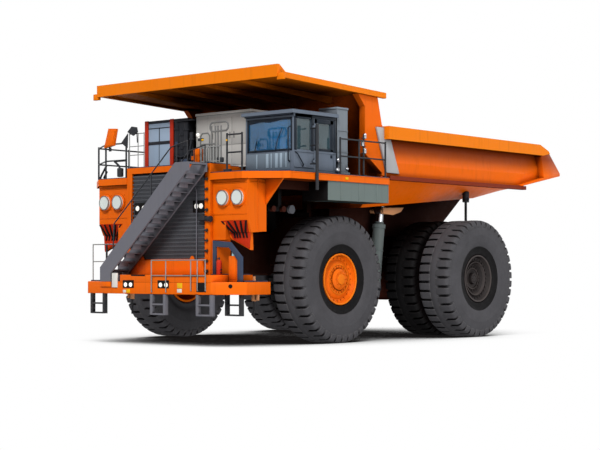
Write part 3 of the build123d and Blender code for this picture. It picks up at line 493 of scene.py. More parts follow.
class TRUCK_OT_stage(bpy.types.Operator):
    """Makes the floor, whose glow darkens into a painted shadow under the truck, the lights and the camera"""
    bl_idname = "truck.stage"
    bl_label = "Stage"

    def execute(self, context):
        scene = context.scene
        settings = scene.truck_stage
        tree, surface = blank_paint("pale_floor")
        # painted shadow: the floor's glow goes from white to near-black where the truck closes it in within 8
        # m
        open_share = put(tree, "ShaderNodeAmbientOcclusion", {"Distance": 8.0}, samples=16).outputs["AO"]
        grey = ranged(tree, open_share, 0.26, 0.64, 0.0, 1.0)
        glow = tree.nodes.new("ShaderNodeEmission")
        tree.links.new(
            mixed(tree, grey, (0.010, 0.009, 0.009, 1.0), (1.0, 1.0, 1.0, 1.0)), glow.inputs["Color"]
        )
        bounce = tree.nodes.new("ShaderNodeBsdfDiffuse")
        bounce.inputs["Color"].default_value = (0.12, 0.12, 0.12, 1.0)
        pick = tree.nodes.new("ShaderNodeMixShader")
        tree.links.new(seen_directly(tree), pick.inputs[0])
        tree.links.new(bounce.outputs[0], pick.inputs[1])
        tree.links.new(glow.outputs[0], pick.inputs[2])
        tree.links.new(pick.outputs[0], surface)
        shape = bmesh.new()
        bmesh.ops.create_grid(shape, x_segments=2, y_segments=2, size=400.0)
        bmesh.ops.translate(shape, verts=shape.verts[:], vec=(0, 0, -0.002))
        mesh = bpy.data.meshes.new("floor")
        shape.to_mesh(mesh)
        shape.free()
        mesh.materials.append(PAINTS["pale_floor"])
        floor = bpy.data.objects.new("floor", mesh)
        scene.collection.objects.link(floor)
        floor.visible_shadow = False

        world = bpy.data.worlds.new("pale_sky")
        world.use_nodes = True
        scene.world = world
        sky = world.node_tree
        sky.nodes.clear()
        even = put(
            sky, "ShaderNodeBackground", {"Color": (0.95, 0.97, 1.0, 1.0), "Strength": settings.sky_strength}
        )
        white = put(sky, "ShaderNodeBackground", {"Color": (1.0, 1.0, 1.0, 1.0), "Strength": 1.0})
        pick = sky.nodes.new("ShaderNodeMixShader")
        sky.links.new(seen_directly(sky), pick.inputs[0])
        sky.links.new(even.outputs[0], pick.inputs[1])
        sky.links.new(white.outputs[0], pick.inputs[2])
        out = sky.nodes.new("ShaderNodeOutputWorld")
        sky.links.new(pick.outputs[0], out.inputs["Surface"])

        lamps = (
            ("key", (0.74, 0.40, 0.74), settings.key_strength * 1.12, 14),
            ("left_fill", (-0.10, 0.98, 0.14), settings.key_strength * 0.22, 24),
            ("under_fill", (0.42, 0.70, -0.60), settings.key_strength * 0.74, 30),
            ("right_fill", (-0.35, -0.9, 0.5), settings.key_strength * 0.35, 30),
            ("rear_fill", (-0.95, 0.1, 0.4), settings.key_strength * 0.30, 30),
        )
        for name, direction, strength, softness in lamps:
            lamp = bpy.data.lights.new(name, "SUN")
            lamp.energy = strength
            lamp.angle = math.radians(softness)
            holder = bpy.data.objects.new(name, lamp)
            holder.rotation_euler = Vector(direction).to_track_quat("Z", "Y").to_euler()
            holder.location = Vector(direction) * 30
            scene.collection.objects.link(holder)

        view = bpy.data.cameras.new("view")
        view.lens = settings.lens
        view.sensor_width = 36.0
        view.shift_y = 0.0758
        view.clip_end = 1000.0
        camera = bpy.data.objects.new("view", view)
        camera.location = (35.68, 30.246, 2.04)
        camera.rotation_euler = (math.radians(90), 0, math.radians(131.3))
        scene.collection.objects.link(camera)
        scene.camera = camera
        scene.view_settings.view_transform = "Standard"
        return {"FINISHED"}


class TRUCK_OT_paintwork(bpy.types.Operator):
    """Mixes the paints and lays them on the frame's own pieces"""
    bl_idname = "truck.paintwork"
    bl_label = "Paintwork"

    def execute(self, context):
        look = context.scene.truck_finish
        orange = tuple(look.orange) + (1.0,)
        body = tuple(look.body_orange) + (1.0,)
        grey = tuple(look.cab_grey) + (1.0,)
        coat_of_paint("front_orange", orange, dust=0.08, reach=0.4)
        # belly adds the top rail's painted shadow on the body side and painted shade under the floor
        coat_of_paint("body_orange", body, dust=0.12, dim=1.0, belly=2.5)
        # body orange with painted shade from a 3.2 m reach, standing for the canopy's shadow on the front
        # wall
        coat_of_paint("wall_shaded_orange", body, dust=0.1, reach=3.2, deep=0.06, dim=0.3)
        # a lighter orange than the body's as a painted highlight, with painted shade under the canopy from a
        # 3.2 m reach
        coat_of_paint("canopy_lit_and_shaded_orange", tint(252, 130, 0), dust=0.1, reach=3.2, deep=0.12, dim=0.6)
        # a lighter orange than the body's: painted highlight on the top rails
        coat_of_paint("rail_highlight_orange", tint(252, 132, 0), dust=0.1)
        coat_of_paint("rim_orange", tint(242, 108, 0), rough=0.5, dust=0.1, reach=0.8, deep=0.2)
        # a lighter orange than the rims': painted highlight on the lips, ring and hub cap
        coat_of_paint("rim_highlight_orange", tint(248, 124, 8), rough=0.5, dust=0.1, reach=0.3, deep=0.4)
        coat_of_paint("pale_orange", tint(240, 170, 120), rough=0.5, dust=0.3)
        # red standing for the orange housings' undersides in shade: painted shade
        coat_of_paint("vent_shade_red", tint(206, 48, 8), rough=0.5, dust=0.2)
        # dark brown for the frame, deck supports and body beams in shade: painted shade
        coat_of_paint("under_shade_brown", tint(52, 20, 10), rough=0.7, dust=0.1, reach=2.0, deep=0.02)
        coat_of_paint("hub_rings", tint(72, 66, 65), rough=0.6, dust=0.1)
        coat_of_paint("plate_blue", tint(58, 70, 92), rough=0.5, dust=0.2)
        coat_of_paint("gate_grey", tint(150, 150, 148), rough=0.45, dust=0.2)
        coat_of_paint("pipe_grey", tint(120, 120, 118), rough=0.45, dust=0.2)
        coat_of_paint("machine_dark", tint(44, 46, 52), rough=0.5, dust=0.2)
        coat_of_paint("cabinet_pale", tint(226, 222, 214), rough=0.45, dust=0.1)
        coat_of_paint("cab_black", tint(30, 38, 48), rough=0.35, dust=0.1)
        coat_of_paint("strip_pale", tint(176, 194, 208), rough=0.4, dust=0.1)
        coat_of_paint("panel_pale", tint(124, 138, 150), rough=0.4, dust=0.1)
        coat_of_paint("tread_pale", tint(112, 112, 120), rough=0.55, dust=0.2)
        # dark maroon on the lower rails: painted shadow line of the ledge
        coat_of_paint("ledge_painted_shadow", tint(128, 40, 6), dust=0.1)
        coat_of_paint("cab_grey", grey, rough=0.36, dust=0.2)
        coat_of_paint("stair_grey", tint(112, 112, 120), rough=0.5, reach=0.4)
        coat_of_paint("tower_grey", tint(128, 136, 144), rough=0.42)
        coat_of_paint("cabinet_beige", tint(206, 202, 196), rough=0.5, dust=0.1, reach=0.3, deep=0.4)
        coat_of_paint("tank_green", tint(112, 124, 121), rough=0.4, dust=0.3)
        coat_of_paint("stripe_grey", tint(184, 184, 186), rough=0.45, dust=0.2)
        coat_of_paint("hoist_grey", tint(122, 133, 132), rough=0.38, dust=0.3)
        coat_of_paint("safety_red", tint(206, 50, 24), rough=0.4)
        coat_of_paint("grille_black", tint(100, 102, 108), rough=0.6, dust=0.15, reach=0.12, deep=0.4)
        coat_of_paint("rail_black", tint(48, 50, 54), rough=0.45, dust=0.2)
        # near-black for black parts, and for parts and sheets in shade: painted shade
        coat_of_paint("black_and_shade", tint(14, 13, 14), rough=0.7, dust=0.05, reach=2.0, deep=0.1)
        coat_of_paint("hub_brown", tint(50, 46, 46), rough=0.6, dust=0.1)
        coat_of_paint("axle_red", tint(66, 24, 12), rough=0.6, dust=0.1, reach=1.5, deep=0.05)
        coat_of_paint("pale_pane", tint(170, 190, 212), rough=0.35, dust=0.1)
        coat_of_paint("marker_yellow", tint(250, 190, 20), rough=0.35, dust=0.1)
        coat_of_paint("marker_white", tint(232, 228, 220), rough=0.35, dust=0.1)
        bare_metal("bright_rod", tint(200, 202, 206), rough=0.16)
        bare_metal("cast_steel", tint(96, 90, 86), rough=0.45)
        bare_metal("bolt_steel", tint(140, 136, 132), rough=0.4)
        tyre_rubber("tyre_grey", tuple(look.tyre_grey) + (1.0,))
        # near-black rubber for the inner tyres and the bead bands: painted shade
        tyre_rubber("tyre_shade_black", tint(16, 15, 16), 0.08)
        window_glass("cab_glass", tint(40, 132, 186), see_through=0.7)
        window_glass("side_glass", tint(62, 88, 96), see_through=0.5)
        lamp_lens("head_lens", tint(226, 234, 228))
        lamp_lens("work_lens", tint(255, 252, 244), glow=0.35)
        lamp_lens("beacon_lens", tint(170, 226, 234))
        seat_cloth("seat_cloth", tint(60, 62, 68))
        table = {
            "front_orange": (
                "radiator_frame", "bumper", "headlamp_housings", "side_decks", "centre_deck", "right_mirror"
            ),
            "body_orange": ("body_tub",),
            "ledge_painted_shadow": ("body_lower_rails",),
            "rail_highlight_orange": ("body_top_rails",),
            "wall_shaded_orange": ("body_front_wall", "body_corner_posts"),
            "canopy_lit_and_shaded_orange": ("canopy",),
            "rim_orange": ("front_rim_left", "front_rim_right"),
            "hub_brown": ("rear_rim_left", "rear_rim_right"),
            "under_shade_brown": ("frame", "deck_supports", "body_beams"),
            "cab_grey": ("cab_shell", "cab_roof", "cab_door"),
            "tower_grey": ("intake_tower",),
            "cabinet_beige": ("control_cabinet",),
            "tank_green": ("tanks",),
            "stair_grey": ("front_stair",),
            "hoist_grey": (
                "hoist_barrel_left", "hoist_barrel_right", "hoist_stage_left", "hoist_stage_right"
            ),
            "grille_black": ("radiator_grille", "radiator_core"),
            "rail_black": ("boarding_ladders", "deck_handrails", "bumper_guards"),
            "machine_dark": ("grid_box",),
            "black_and_shade": ("engine", "spindle_left", "spindle_right", "tie_rod", "suspension_struts"),
            "axle_red": ("rear_axle",),
            "bright_rod": ("hoist_rod_left", "hoist_rod_right"),
            "cast_steel": ("body_pivot_pins",),
            "pale_orange": ("hoist_eye_brackets",),
            "head_lens": ("headlamps",),
            "seat_cloth": ("cab_interior",),
            "tyre_grey": (
                "front_tyre_left",
                "front_tyre_right",
                "rear_tyre_outer_left",
                "rear_tyre_inner_left",
                "rear_tyre_outer_right",
                "rear_tyre_inner_right",
            ),
        }
        for paint, nodes in table.items():
            for node in nodes:
                slots = NODES[node].material_slots
                if len(slots) == 0:
                    NODES[node].data.materials.append(PAINTS[paint])
                for slot in slots:
                    slot.material = PAINTS[paint]
        return {"FINISHED"}


def joined(seed):
    """Every vertex that edges join to the seed."""
    found = set(seed)
    queue = list(seed)
    while queue:
        vertex = queue.pop()
        for edge in vertex.link_edges:
            other = edge.other_vert(vertex)
            if other not in found:
                found.add(other)
                queue.append(other)
    return found


class TRUCK_OT_tyres(bpy.types.Operator):
    """Makes the six tyres with their shoulder lugs, near-black inner tyres and a black band over each outer
    tyre's bead as painted shade
    """
    bl_idname = "truck.tyres"
    bl_label = "Tyres"

    def execute(self, context):
        sizes = context.scene.truck_tyres
        wheels = []
        for side, sign in SIDES:
            for tyre_name, wheel, ahead, y in (
                ("front_tyre_", "front_wheel_", FRONT_AXLE, FRONT_WHEEL_Y),
                ("rear_tyre_outer_", "rear_wheels_", 0.0, REAR_WHEEL_Y),
                ("rear_tyre_inner_", "rear_wheels_", 0.0, REAR_WHEEL_Y - TWIN_SPACING),
            ):
                wheels.append((tyre_name + side, wheel + side, ahead, sign * y, sign))
        radius = WHEEL_Z
        base = radius - sizes.groove_depth
        half_profile = [
            (0.727, 0.400), (0.760, 0.436), (0.800, 0.446), (0.850, 0.444), (0.900, 0.452), (0.950, 0.474),
            (1.000, 0.503), (1.060, 0.524), (1.130, 0.539), (1.220, 0.549), (1.320, 0.553), (1.330, 0.555),
            (1.345, 0.555), (1.355, 0.553), (1.460, 0.549), (1.560, 0.538), (1.620, 0.524), (1.670, 0.500),
            (base - 0.012, 0.455), (base, 0.380), (base + 0.004, 0.200), (base + 0.055, 0.150),
            (base + 0.070, 0.120), (base + 0.078, 0.0),
        ]
        profile = half_profile + [(r, -y) for r, y in reversed(half_profile[:-1])]
        pitch = 2 * math.pi / sizes.lugs_round
        lug = [
            (base - 0.02, 0.110), (radius - 0.004, 0.110), (radius, 0.250), (radius - 0.004, 0.440),
            (radius - 0.022, 0.496), (radius - 0.060, 0.530), (1.640, 0.547), (1.585, 0.546),
            (1.585, 0.500), (base - 0.02, 0.420),
        ]
        for name, body, ahead, y, sign in wheels:
            tyre = Piece(name + "_tread")
            centre = at(ahead, y, WHEEL_Z)
            tyre.turned(profile, centre, 120, sign)
            for reach, offset in ((1, 0.0), (-1, 0.5)):
                start = offset * pitch
                outline = [
                    centre + Vector((r * math.sin(start), reach * sign * w, r * math.cos(start)))
                    for r, w in lug
                ]
                first = [tyre.bm.verts.new(p) for p in outline]
                face = tyre.bm.faces.new(first)
                bmesh.ops.spin(
                    tyre.bm,
                    geom=[face],
                    cent=centre,
                    axis=(0, 1, 0),
                    angle=pitch * sizes.lug_share,
                    steps=2,
                    use_merge=False,
                )
                block = joined(first)
                edges = {e for v in block for e in v.link_edges if e.calc_face_angle(0.0) > 0.9}
                tyre.bevel(edges, 0.012, 1)
                near = [
                    v
                    for v in tyre.bm.verts
                    if v in block or any(e.other_vert(v) in block for e in v.link_edges)
                ]
                block = joined(near)
                geom = list(block)
                geom += {e for v in block for e in v.link_edges}
                geom += {f for v in block for f in v.link_faces}
                bmesh.ops.spin(
                    tyre.bm,
                    geom=geom,
                    cent=centre,
                    axis=(0, 1, 0),
                    angle=2 * math.pi - pitch,
                    steps=sizes.lugs_round - 1,
                    use_merge=False,
                    use_duplicate=True,
                )
            # the inner tyres take near-black rubber as painted shade
            tyre.done(
                "tyre_shade_black" if "inner" in name else "tyre_grey", body, (name,), angle=40
            )
            if "inner" not in name:
                # a black band over the bead, where the sidewall curves in: painted shade
                band = Piece(name + "_bead_shade_band")
                face = [(r, y + 0.004) for r, y in half_profile[:6]] + [(0.985, 0.499)]
                band.turned(face + [(r, y - 0.012) for r, y in reversed(face)], centre, 96, sign, closed=True)
                band.done("tyre_shade_black", body)
        return {"FINISHED"}


class TRUCK_OT_rims(bpy.types.Operator):
    """Makes the rims' lips, clamp bolts and hub bolts"""
    bl_idname = "truck.rims"
    bl_label = "Rims"

    def execute(self, context):
        for side, sign in SIDES:
            centre = at(FRONT_AXLE, sign * FRONT_WHEEL_Y, WHEEL_Z)
            lip = Piece("front_rim_lip_" + side)
            lip.turned(
                [(0.724, 0.426), (0.724, 0.452), (0.706, 0.462), (0.676, 0.450), (0.672, 0.426)],
                centre,
                96,
                sign,
                closed=True,
            )
            lip.turned(
                [(0.430, 0.372), (0.430, 0.392), (0.405, 0.392), (0.405, 0.372)],
                centre,
                72,
                sign,
                closed=True,
            )
            lip.turned([(0.150, 0.455), (0.150, 0.482), (0.110, 0.490), (0.0, 0.490)], centre, 48, sign)
            # the lips, ring and hub cap carry a painted highlight
            lip.done("rim_highlight_orange", "front_wheel_" + side)
            studs = Piece("front_rim_bolts_" + side)
            studs.studs(centre, sign, 24, 0.598, 0.310, 0.017, 0.036)
            studs.studs(centre, sign, 20, 0.370, 0.375, 0.017, 0.034)
            studs.studs(centre, sign, 12, 0.318, 0.355, 0.014, 0.034)
            studs.studs(centre, sign, 8, 0.200, 0.455, 0.012, 0.022)
            studs.done("rim_orange", "front_wheel_" + side)
            centre = at(0, sign * REAR_WHEEL_Y, WHEEL_Z)
            lip = Piece("rear_rim_lip_" + side)
            lip.turned(
                [(0.724, 0.424), (0.724, 0.446), (0.706, 0.454), (0.678, 0.444), (0.672, 0.424)],
                centre,
                96,
                sign,
                closed=True,
            )
            lip.turned(
                [(0.520, 0.270), (0.520, 0.345), (0.496, 0.352), (0.470, 0.270)],
                centre,
                72,
                sign,
                closed=True,
            )
            lip.turned(
                [(0.330, 0.195), (0.330, 0.225), (0.300, 0.225), (0.300, 0.195)],
                centre,
                64,
                sign,
                closed=True,
            )
            lip.done("hub_rings", "rear_wheels_" + side)
            studs = Piece("rear_rim_bolts_" + side)
            studs.studs(centre, sign, 28, 0.594, 0.298, 0.018, 0.034)
            studs.studs(centre, sign, 20, 0.375, 0.195, 0.016, 0.032)
            studs.studs(centre, sign, 8, 0.105, 0.295, 0.014, 0.024)
            studs.done("hub_brown", "rear_wheels_" + side)
        return {"FINISHED"}


class TRUCK_OT_body_trim(bpy.types.Operator):
    """Makes the body's stripes, rock ejectors, tail edge and canopy trim"""
    bl_idname = "truck.body_trim"
    bl_label = "Body trim"

    def execute(self, context):
        stripes = Piece("body_stripes")
        stripes.plate(
            [at(a, 3.552, z) for a, z in ((4.31, 6.19), (3.79, 6.19), (3.24, 4.88), (3.83, 4.89))],
            Vector((0, 0.063, 0)),
            0.004,
        )
        stripes.mirror()
        stripes.done("stripe_grey", "dump_body")
        ejectors = Piece("rock_ejectors")
        ejectors.box(-0.99, -0.79, 3.03, 3.16, 4.20, 4.54, 0.012)
        ejectors.bar(at(-0.89, 2.99, 4.30), at(-0.89, 3.20, 4.30), 0.045, 16)
        ejectors.pipe([at(-0.89, 3.094, 4.30), at(-0.89, 3.094, 3.66), at(-1.00, 3.094, 2.55)], 0.042, 14)
        ejectors.mirror()
        ejectors.done("rail_black", "dump_body")
        edge = Piece("tail_edge")
        edge.box(-5.395, -5.30, -2.62, 2.62, 5.13, 5.215, 0.01)
        edge.done("body_orange", "dump_body")
        tails = Piece("tail_plates")
        outline = (
            (-4.22, 5.80),
            (-4.30, 5.99),
            (-4.66, 5.99),
            (-5.393, 5.30),
            (-5.393, 5.215),
            (-3.10, 4.79),
            (-3.10, 4.83),
            (-4.40, 5.12),
        )
        tails.plate([at(a, 3.53, z) for a, z in outline], Vector((0, 0.265, 0)), 0.004)
        tails.mirror()
        tails.done("body_orange", "dump_body")
        cheeks = Piece("pivot_cheeks")
        cheeks.plate(
            [at(a, 1.24, z) for a, z in ((-2.02, 3.52), (-1.40, 2.88), (-1.95, 2.74))],
            Vector((0, 0.05, 0)),
            0.004,
        )
        cheeks.mirror()
        cheeks.done("hoist_grey", "dump_body")
        trim = Piece("canopy_trim")
        trim.box(8.50, 8.60, -3.83, -3.60, 7.14, 7.32, 0.01)
        trim.box(8.50, 8.60, 3.60, 3.83, 7.14, 7.32, 0.01)
        for y in (-2.8, -1.4, 0.0, 1.4, 2.8):
            trim.box(8.30, 8.53, y - 0.03, y + 0.03, 7.38, 7.545, 0.006)
        trim.done("canopy_lit_and_shaded_orange", "dump_body")
        return {"FINISHED"}


class TRUCK_OT_grille(bpy.types.Operator):
    """Makes the grille's lamps, mesh, hinges, horn and lifting eyes"""
    bl_idname = "truck.grille"
    bl_label = "Grille"

    def execute(self, context):
        cases = Piece("grille_lamp_cases")
        lenses = Piece("grille_lamp_lenses")
        for low, high, z in ((-1.40, -0.86, 3.80), (0.98, 1.44, 3.80)):
            cases.box(9.035, 9.165, low, high, z - 0.17, z + 0.17, 0.02)
            for y in (low + 0.15, high - 0.13):
                lenses.disc(at(9.165, y, z + 0.01), (1, 0, 0), 0.075, 0.016)
        cases.done("black_and_shade")
        lenses.done("work_lens")
        mesh = Piece("grille_mesh")
        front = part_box("radiator_grille")[1][0] - REAR_AXLE_X
        mesh_bars = 67
        for i in range(mesh_bars):
            y = -1.40 + 2.80 * i / (mesh_bars - 1)
            mesh.box(front - 0.012, front + 0.006, y - 0.006, y + 0.006, 2.37, 4.72)
        mesh.done("grille_black")
        hinges = Piece("grille_hinges")
        for i in range(11):
            z = 2.02 + 0.28 * i
            hinges.box(9.165, 9.235, 1.50, 1.60, z - 0.025, z + 0.025, 0.008)
            hinges.bar(at(9.225, 1.60, z - 0.05), at(9.225, 1.60, z + 0.05), 0.016, 10)
        hinges.box(9.14, 9.30, 1.30, 1.56, 3.40, 3.54, 0.02)
        hinges.bar(at(9.22, 1.52, 3.47), at(9.22, 1.74, 3.44), 0.045, 16, 0.085)
        hinges.done("rail_black")
        eyes = Piece("apron_eyes")
        for y in (-0.99, 1.03):
            eyes.plate(
                [at(9.20, y + w, z) for w, z in ((-0.11, 2.32), (0.11, 2.32), (0.03, 2.44), (-0.03, 2.44))],
                Vector((0.04, 0, 0)),
                0.004,
            )
        for y in (-1.15, 1.28):
            eyes.box(9.255, 9.264, y - 0.03, y + 0.03, 1.95, 2.31, 0.002)
        eyes.done("front_orange")
        post = Piece("stair_lamp_post")
        post.pipe(
            [
                at(9.215, 1.19, 2.325),
                at(9.215, 1.19, 4.22),
                at(9.215, 1.13, 4.36),
                at(9.215, 1.00, 4.45),
                at(9.215, 0.80, 4.46),
            ],
            0.017,
        )
        post.box(9.195, 9.25, 0.78, 0.84, 4.42, 4.52, 0.004)
        post.done("stair_grey")
        return {"FINISHED"}


class TRUCK_OT_headlamps(bpy.types.Operator):
    """Makes the headlamps' bezels, red sheets of painted shade on the housings' undersides, and the fins of
    the vents below them
    """
    bl_idname = "truck.headlamps"
    bl_label = "Headlamps"

    def execute(self, context):
        face = 9.078
        height = 4.01
        reach = 0.30
        bezels = Piece("headlamp_bezels")
        rings = Piece("headlamp_rims")
        for y in (-2.677, -2.122, 2.122, 2.677):
            bezels.turned(
                [(0.206, 0.0), (0.250, 0.0), (0.246, 0.030), (0.214, 0.052), (0.206, 0.052)],
                at(face, y, height),
                64,
                closed=True,
                axis="X",
            )
            rings.turned(
                [(0.206, 0.095), (0.206, 0.118), (0.186, 0.124), (0.180, 0.108)],
                at(face, y, height),
                64,
                closed=True,
                axis="X",
            )
            for i in range(4):
                angle = math.radians(45 + 90 * i)
                across = y + reach * math.cos(angle)
                up = height + reach * math.sin(angle)
                bezels.bar(at(9.07, across, up), at(9.092, across, up), 0.014, 8)
        bezels.done("front_orange")
        rings.done("bolt_steel")
        # thin red sheets on the housings' sloping undersides: painted shade
        shade_plate = Piece("vent_shade_plates")
        shade_plate.plate(
            [at(9.082, 1.99, 3.39), at(9.082, 2.96, 3.39), at(8.945, 2.90, 3.075), at(8.945, 2.30, 3.075)],
            Vector((0.012, 0, -0.006)),
        )
        shade_plate.plate(
            [at(8.925, 2.18, 3.08), at(8.925, 2.96, 3.08), at(8.925, 2.925, 2.62), at(8.925, 2.32, 2.88)],
            Vector((0.012, 0, 0)),
        )
        shade_plate.mirror()
        shade_plate.done("vent_shade_red")
        fins = Piece("vent_fins")
        for top, low in ((2.02, 2.33), (2.24, 2.43), (2.50, 2.53), (2.72, 2.66), (2.92, 2.78)):
            fins.plate(
                [
                    at(9.085, top, 3.38),
                    at(9.085, top + 0.05, 3.38),
                    at(8.96, low + 0.05, 3.06),
                    at(8.96, low, 3.06),
                ],
                Vector((0.03, 0, -0.012)),
            )
            fins.plate(
                [
                    at(8.93, low, 3.08),
                    at(8.93, low + 0.05, 3.08),
                    at(8.93, low + 0.09, 2.92),
                    at(8.93, low + 0.04, 2.92),
                ],
                Vector((0.03, 0, 0)),
            )
        fins.mirror()
        fins.done("black_and_shade")
        seams = Piece("housing_seams")
        seams.box(9.075, 9.092, 1.70, 2.98, 4.40, 4.424, 0.004)
        seams.box(9.075, 9.092, 1.70, 2.98, 3.55, 3.566, 0.004)
        seams.box(8.40, 9.04, 2.992, 3.010, 4.40, 4.424, 0.004)
        seams.box(8.66, 8.70, 2.992, 3.012, 3.12, 4.50, 0.004)
        seams.mirror()
        seams.done("front_orange")
        return {"FINISHED"}


class TRUCK_OT_bumper(bpy.types.Operator):
    """Makes the bumper, its lamps, black plates of painted shade for its slots and holes, markers, rails,
    steps and the gear on its ends
    """
    bl_idname = "truck.bumper"
    bl_label = "Bumper"

    def execute(self, context):
        face = BUMPER_FACE
        end_top = 1.732
        bottle_ahead, bottle_y = 9.36, 2.20
        beam = Piece("bumper_beam")
        plan = ((8.33, 3.14), (9.34, 3.20), (face, 2.48), (face, -2.48), (9.34, -3.20), (8.33, -3.14))
        beam.plate([at(a, y, 1.39) for a, y in plan], Vector((0, 0, 0.34)), 0.012)
        beam.box(8.33, face, -1.11, 2.48, 1.70, 1.92, 0.012)
        apron = ((-1.55, 1.72), (-1.55, 2.15), (-1.31, 2.33), (1.44, 2.33), (1.52, 1.91), (1.40, 1.72))
        beam.plate([at(9.181, y, z) for y, z in apron], Vector((0.079, 0, 0)), 0.004)
        beam.box(9.10, 9.31, 2.50, 2.81, 1.73, 2.43, 0.012)
        beam.box(face - 0.01, 10.006, -1.90, -1.46, 1.58, 1.728, 0.008)
        beam.done("front_orange", replaces=("bumper",))
        # thin black plates and discs on the face and end: painted shade of slots and holes
        dark = Piece("bumper_recess_shade")
        for y, z in ((-0.90, 1.922), (0.90, 1.922)):
            dark.bar(at(9.88, y, z - 0.01), at(9.88, y, z), 0.05, 24)
        for y0, y1, z0, z1 in (
            (-0.99, -0.53, 1.55, 1.77), (0.43, 0.88, 1.55, 1.77), (1.94, 2.30, 1.46, 1.71)
        ):
            dark.box(face - 0.03, face + 0.004, y0, y1, z0, z1, 0.002)
        for y0, y1 in ((-0.65, -0.08), (1.42, 2.04)):
            dark.box(face - 0.20, face + 0.003, y0, y1, 1.885, 1.9235, 0.001)
        end = Vector((0.755, 0.656, 0))
        hole = at(9.62, 2.87, 1.62)
        dark.bar(hole, hole + end * 0.012, 0.055, 20)
        dark.done("black_and_shade")
        lenses = Piece("bumper_lamps")
        for y in (-0.87, -0.66, 0.55, 0.77):
            lenses.disc(at(face + 0.002, y, 1.645), (1, 0, 0), 0.066, 0.014)
        lenses.done("work_lens")
        for name, paint, spots in (
            (
                "bumper_yellow_markers",
                "marker_yellow",
                ((-0.84, -0.69, 1.42, 1.52), (1.20, 1.40, 1.56, 1.70)),
            ),
            ("bumper_white_markers", "marker_white", ((-0.98, -0.86, 1.42, 1.50), (1.20, 1.38, 1.44, 1.54))),
        ):
            marks = Piece(name)
            for y0, y1, z0, z1 in spots:
                marks.box(face - 0.01, face + 0.006, y0, y1, z0, z1, 0.002)
            marks.done(paint)
        box = Piece("switch_box")
        box.box(face - 0.02, face + 0.035, -1.42, -1.20, 1.56, 1.97, 0.012)
        box.done("marker_white")
        grabs = Piece("bumper_grab_rails")
        rail = face + 0.028
        for y, low in ((0.21, 1.45), (0.78, 1.45), (1.75, 1.50), (2.00, 1.50), (2.30, 1.50)):
            grabs.pipe([at(face - 0.004, y, low), at(rail, y, low), at(rail, y, 2.32)], 0.015)
            grabs.bar(at(face - 0.004, y, 1.84), at(rail, y, 1.84), 0.014, 10)
        grabs.bar(at(rail, 0.20, 2.32), at(rail, 2.31, 2.32), 0.015, 10)
        grabs.bar(at(rail, 0.20, 1.90), at(rail, 2.31, 1.90), 0.013, 10)
        grabs.done("gate_grey")
        guard = Piece("left_guard")
        outline = (
            (1.96, 1.922),
            (1.96, 2.85),
            (2.63, 2.80),
            (3.06, 2.39),
            (3.06, end_top),
            (2.88, end_top),
            (2.88, 2.32),
            (2.57, 2.65),
            (2.08, 2.68),
            (2.08, 1.922),
        )
        guard.plate([at(9.32, y, z) for y, z in outline], Vector((0.05, 0, 0)), 0.006)
        guard.done("plate_blue", replaces=("bumper_guards",))
        loop = Piece("right_guard")
        loop.pipe(
            [
                at(9.25, -1.94, end_top),
                at(9.25, -1.94, 2.80),
                at(9.25, -3.08, 2.80),
                at(9.25, -3.08, end_top),
            ],
            0.016,
        )
        loop.bar(at(9.25, -1.94, 2.30), at(9.25, -3.08, 2.30), 0.014, 10)
        loop.done("gate_grey")
        post = Piece("right_guard_post")
        post.bar(at(9.25, -2.48, end_top), at(9.25, -2.48, 2.80), 0.03, 14)
        post.done("rail_black")
        rungs = Piece("ladder_rungs")
        ladder_face = STAIR_FACE
        for y in (0.44, 2.23):
            for z in (0.84, 1.11):
                rungs.box(
                    ladder_face - 0.155,
                    ladder_face - 0.024,
                    y - 0.225,
                    y + 0.225,
                    z - 0.024,
                    z + 0.024,
                    0.006,
                )
            for w in (-0.26, 0.26):
                rungs.box(
                    ladder_face - 0.152,
                    ladder_face - 0.026,
                    y + w - 0.043,
                    y + w + 0.043,
                    0.818,
                    1.385,
                    0.006,
                )
        rungs.done("stair_grey")
        bars = Piece("ladder_treads")
        for y, back in ((-2.05, 0.0), (2.71, 0.62)):
            for z in (0.84, 1.11):
                bars.box(
                    ladder_face - back - 0.155,
                    ladder_face - back - 0.024,
                    y - 0.225,
                    y + 0.225,
                    z - 0.022,
                    z + 0.022,
                    0.006,
                )
        bars.done("rail_black")
        plates = Piece("bumper_end_plates")
        plates.box(8.42, 9.30, 2.50, 3.12, 1.731, 1.765, 0.004)
        plates.box(8.42, 9.30, -3.12, -2.00, 1.731, 1.765, 0.004)
        plates.box(8.42, 9.17, 1.70, 2.47, 1.921, 1.945, 0.004)
        plates.done("plate_blue")
        bottle = Piece("fire_bottle")
        bottle.bar(at(bottle_ahead, bottle_y, 1.92), at(bottle_ahead, bottle_y, 2.26), 0.075, 24)
        bottle.ball(at(bottle_ahead, bottle_y, 2.26), 0.075, 20)
        bottle.done("safety_red")
        cap = Piece("fire_bottle_valve")
        cap.bar(at(bottle_ahead, bottle_y, 2.32), at(bottle_ahead, bottle_y, 2.39), 0.02, 12)
        cap.pipe([at(bottle_ahead, bottle_y, 2.37), at(9.36, 2.10, 2.35), at(9.37, 2.09, 2.05)], 0.012, 8)
        cap.box(9.33, 9.39, 2.115, 2.285, 2.05, 2.08, 0.004)
        cap.box(9.33, 9.39, 2.115, 2.285, 1.98, 2.0, 0.004)
        cap.done("rail_black")
        lamp = Piece("end_beacon")
        lamp.bar(at(9.22, 2.65, 2.43), at(9.22, 2.65, 2.50), 0.085, 24)
        lamp.ball(at(9.22, 2.65, 2.53), 0.085, 20)
        lamp.done("beacon_lens")
        locker = Piece("locker_trim")
        locker.box(9.305, 9.318, 2.53, 2.78, 1.80, 2.38, 0.004)
        locker.bar(at(9.318, 2.57, 2.02), at(9.318, 2.57, 2.16), 0.012, 8)
        locker.done("front_orange")
        links = Piece("bumper_rear_links")
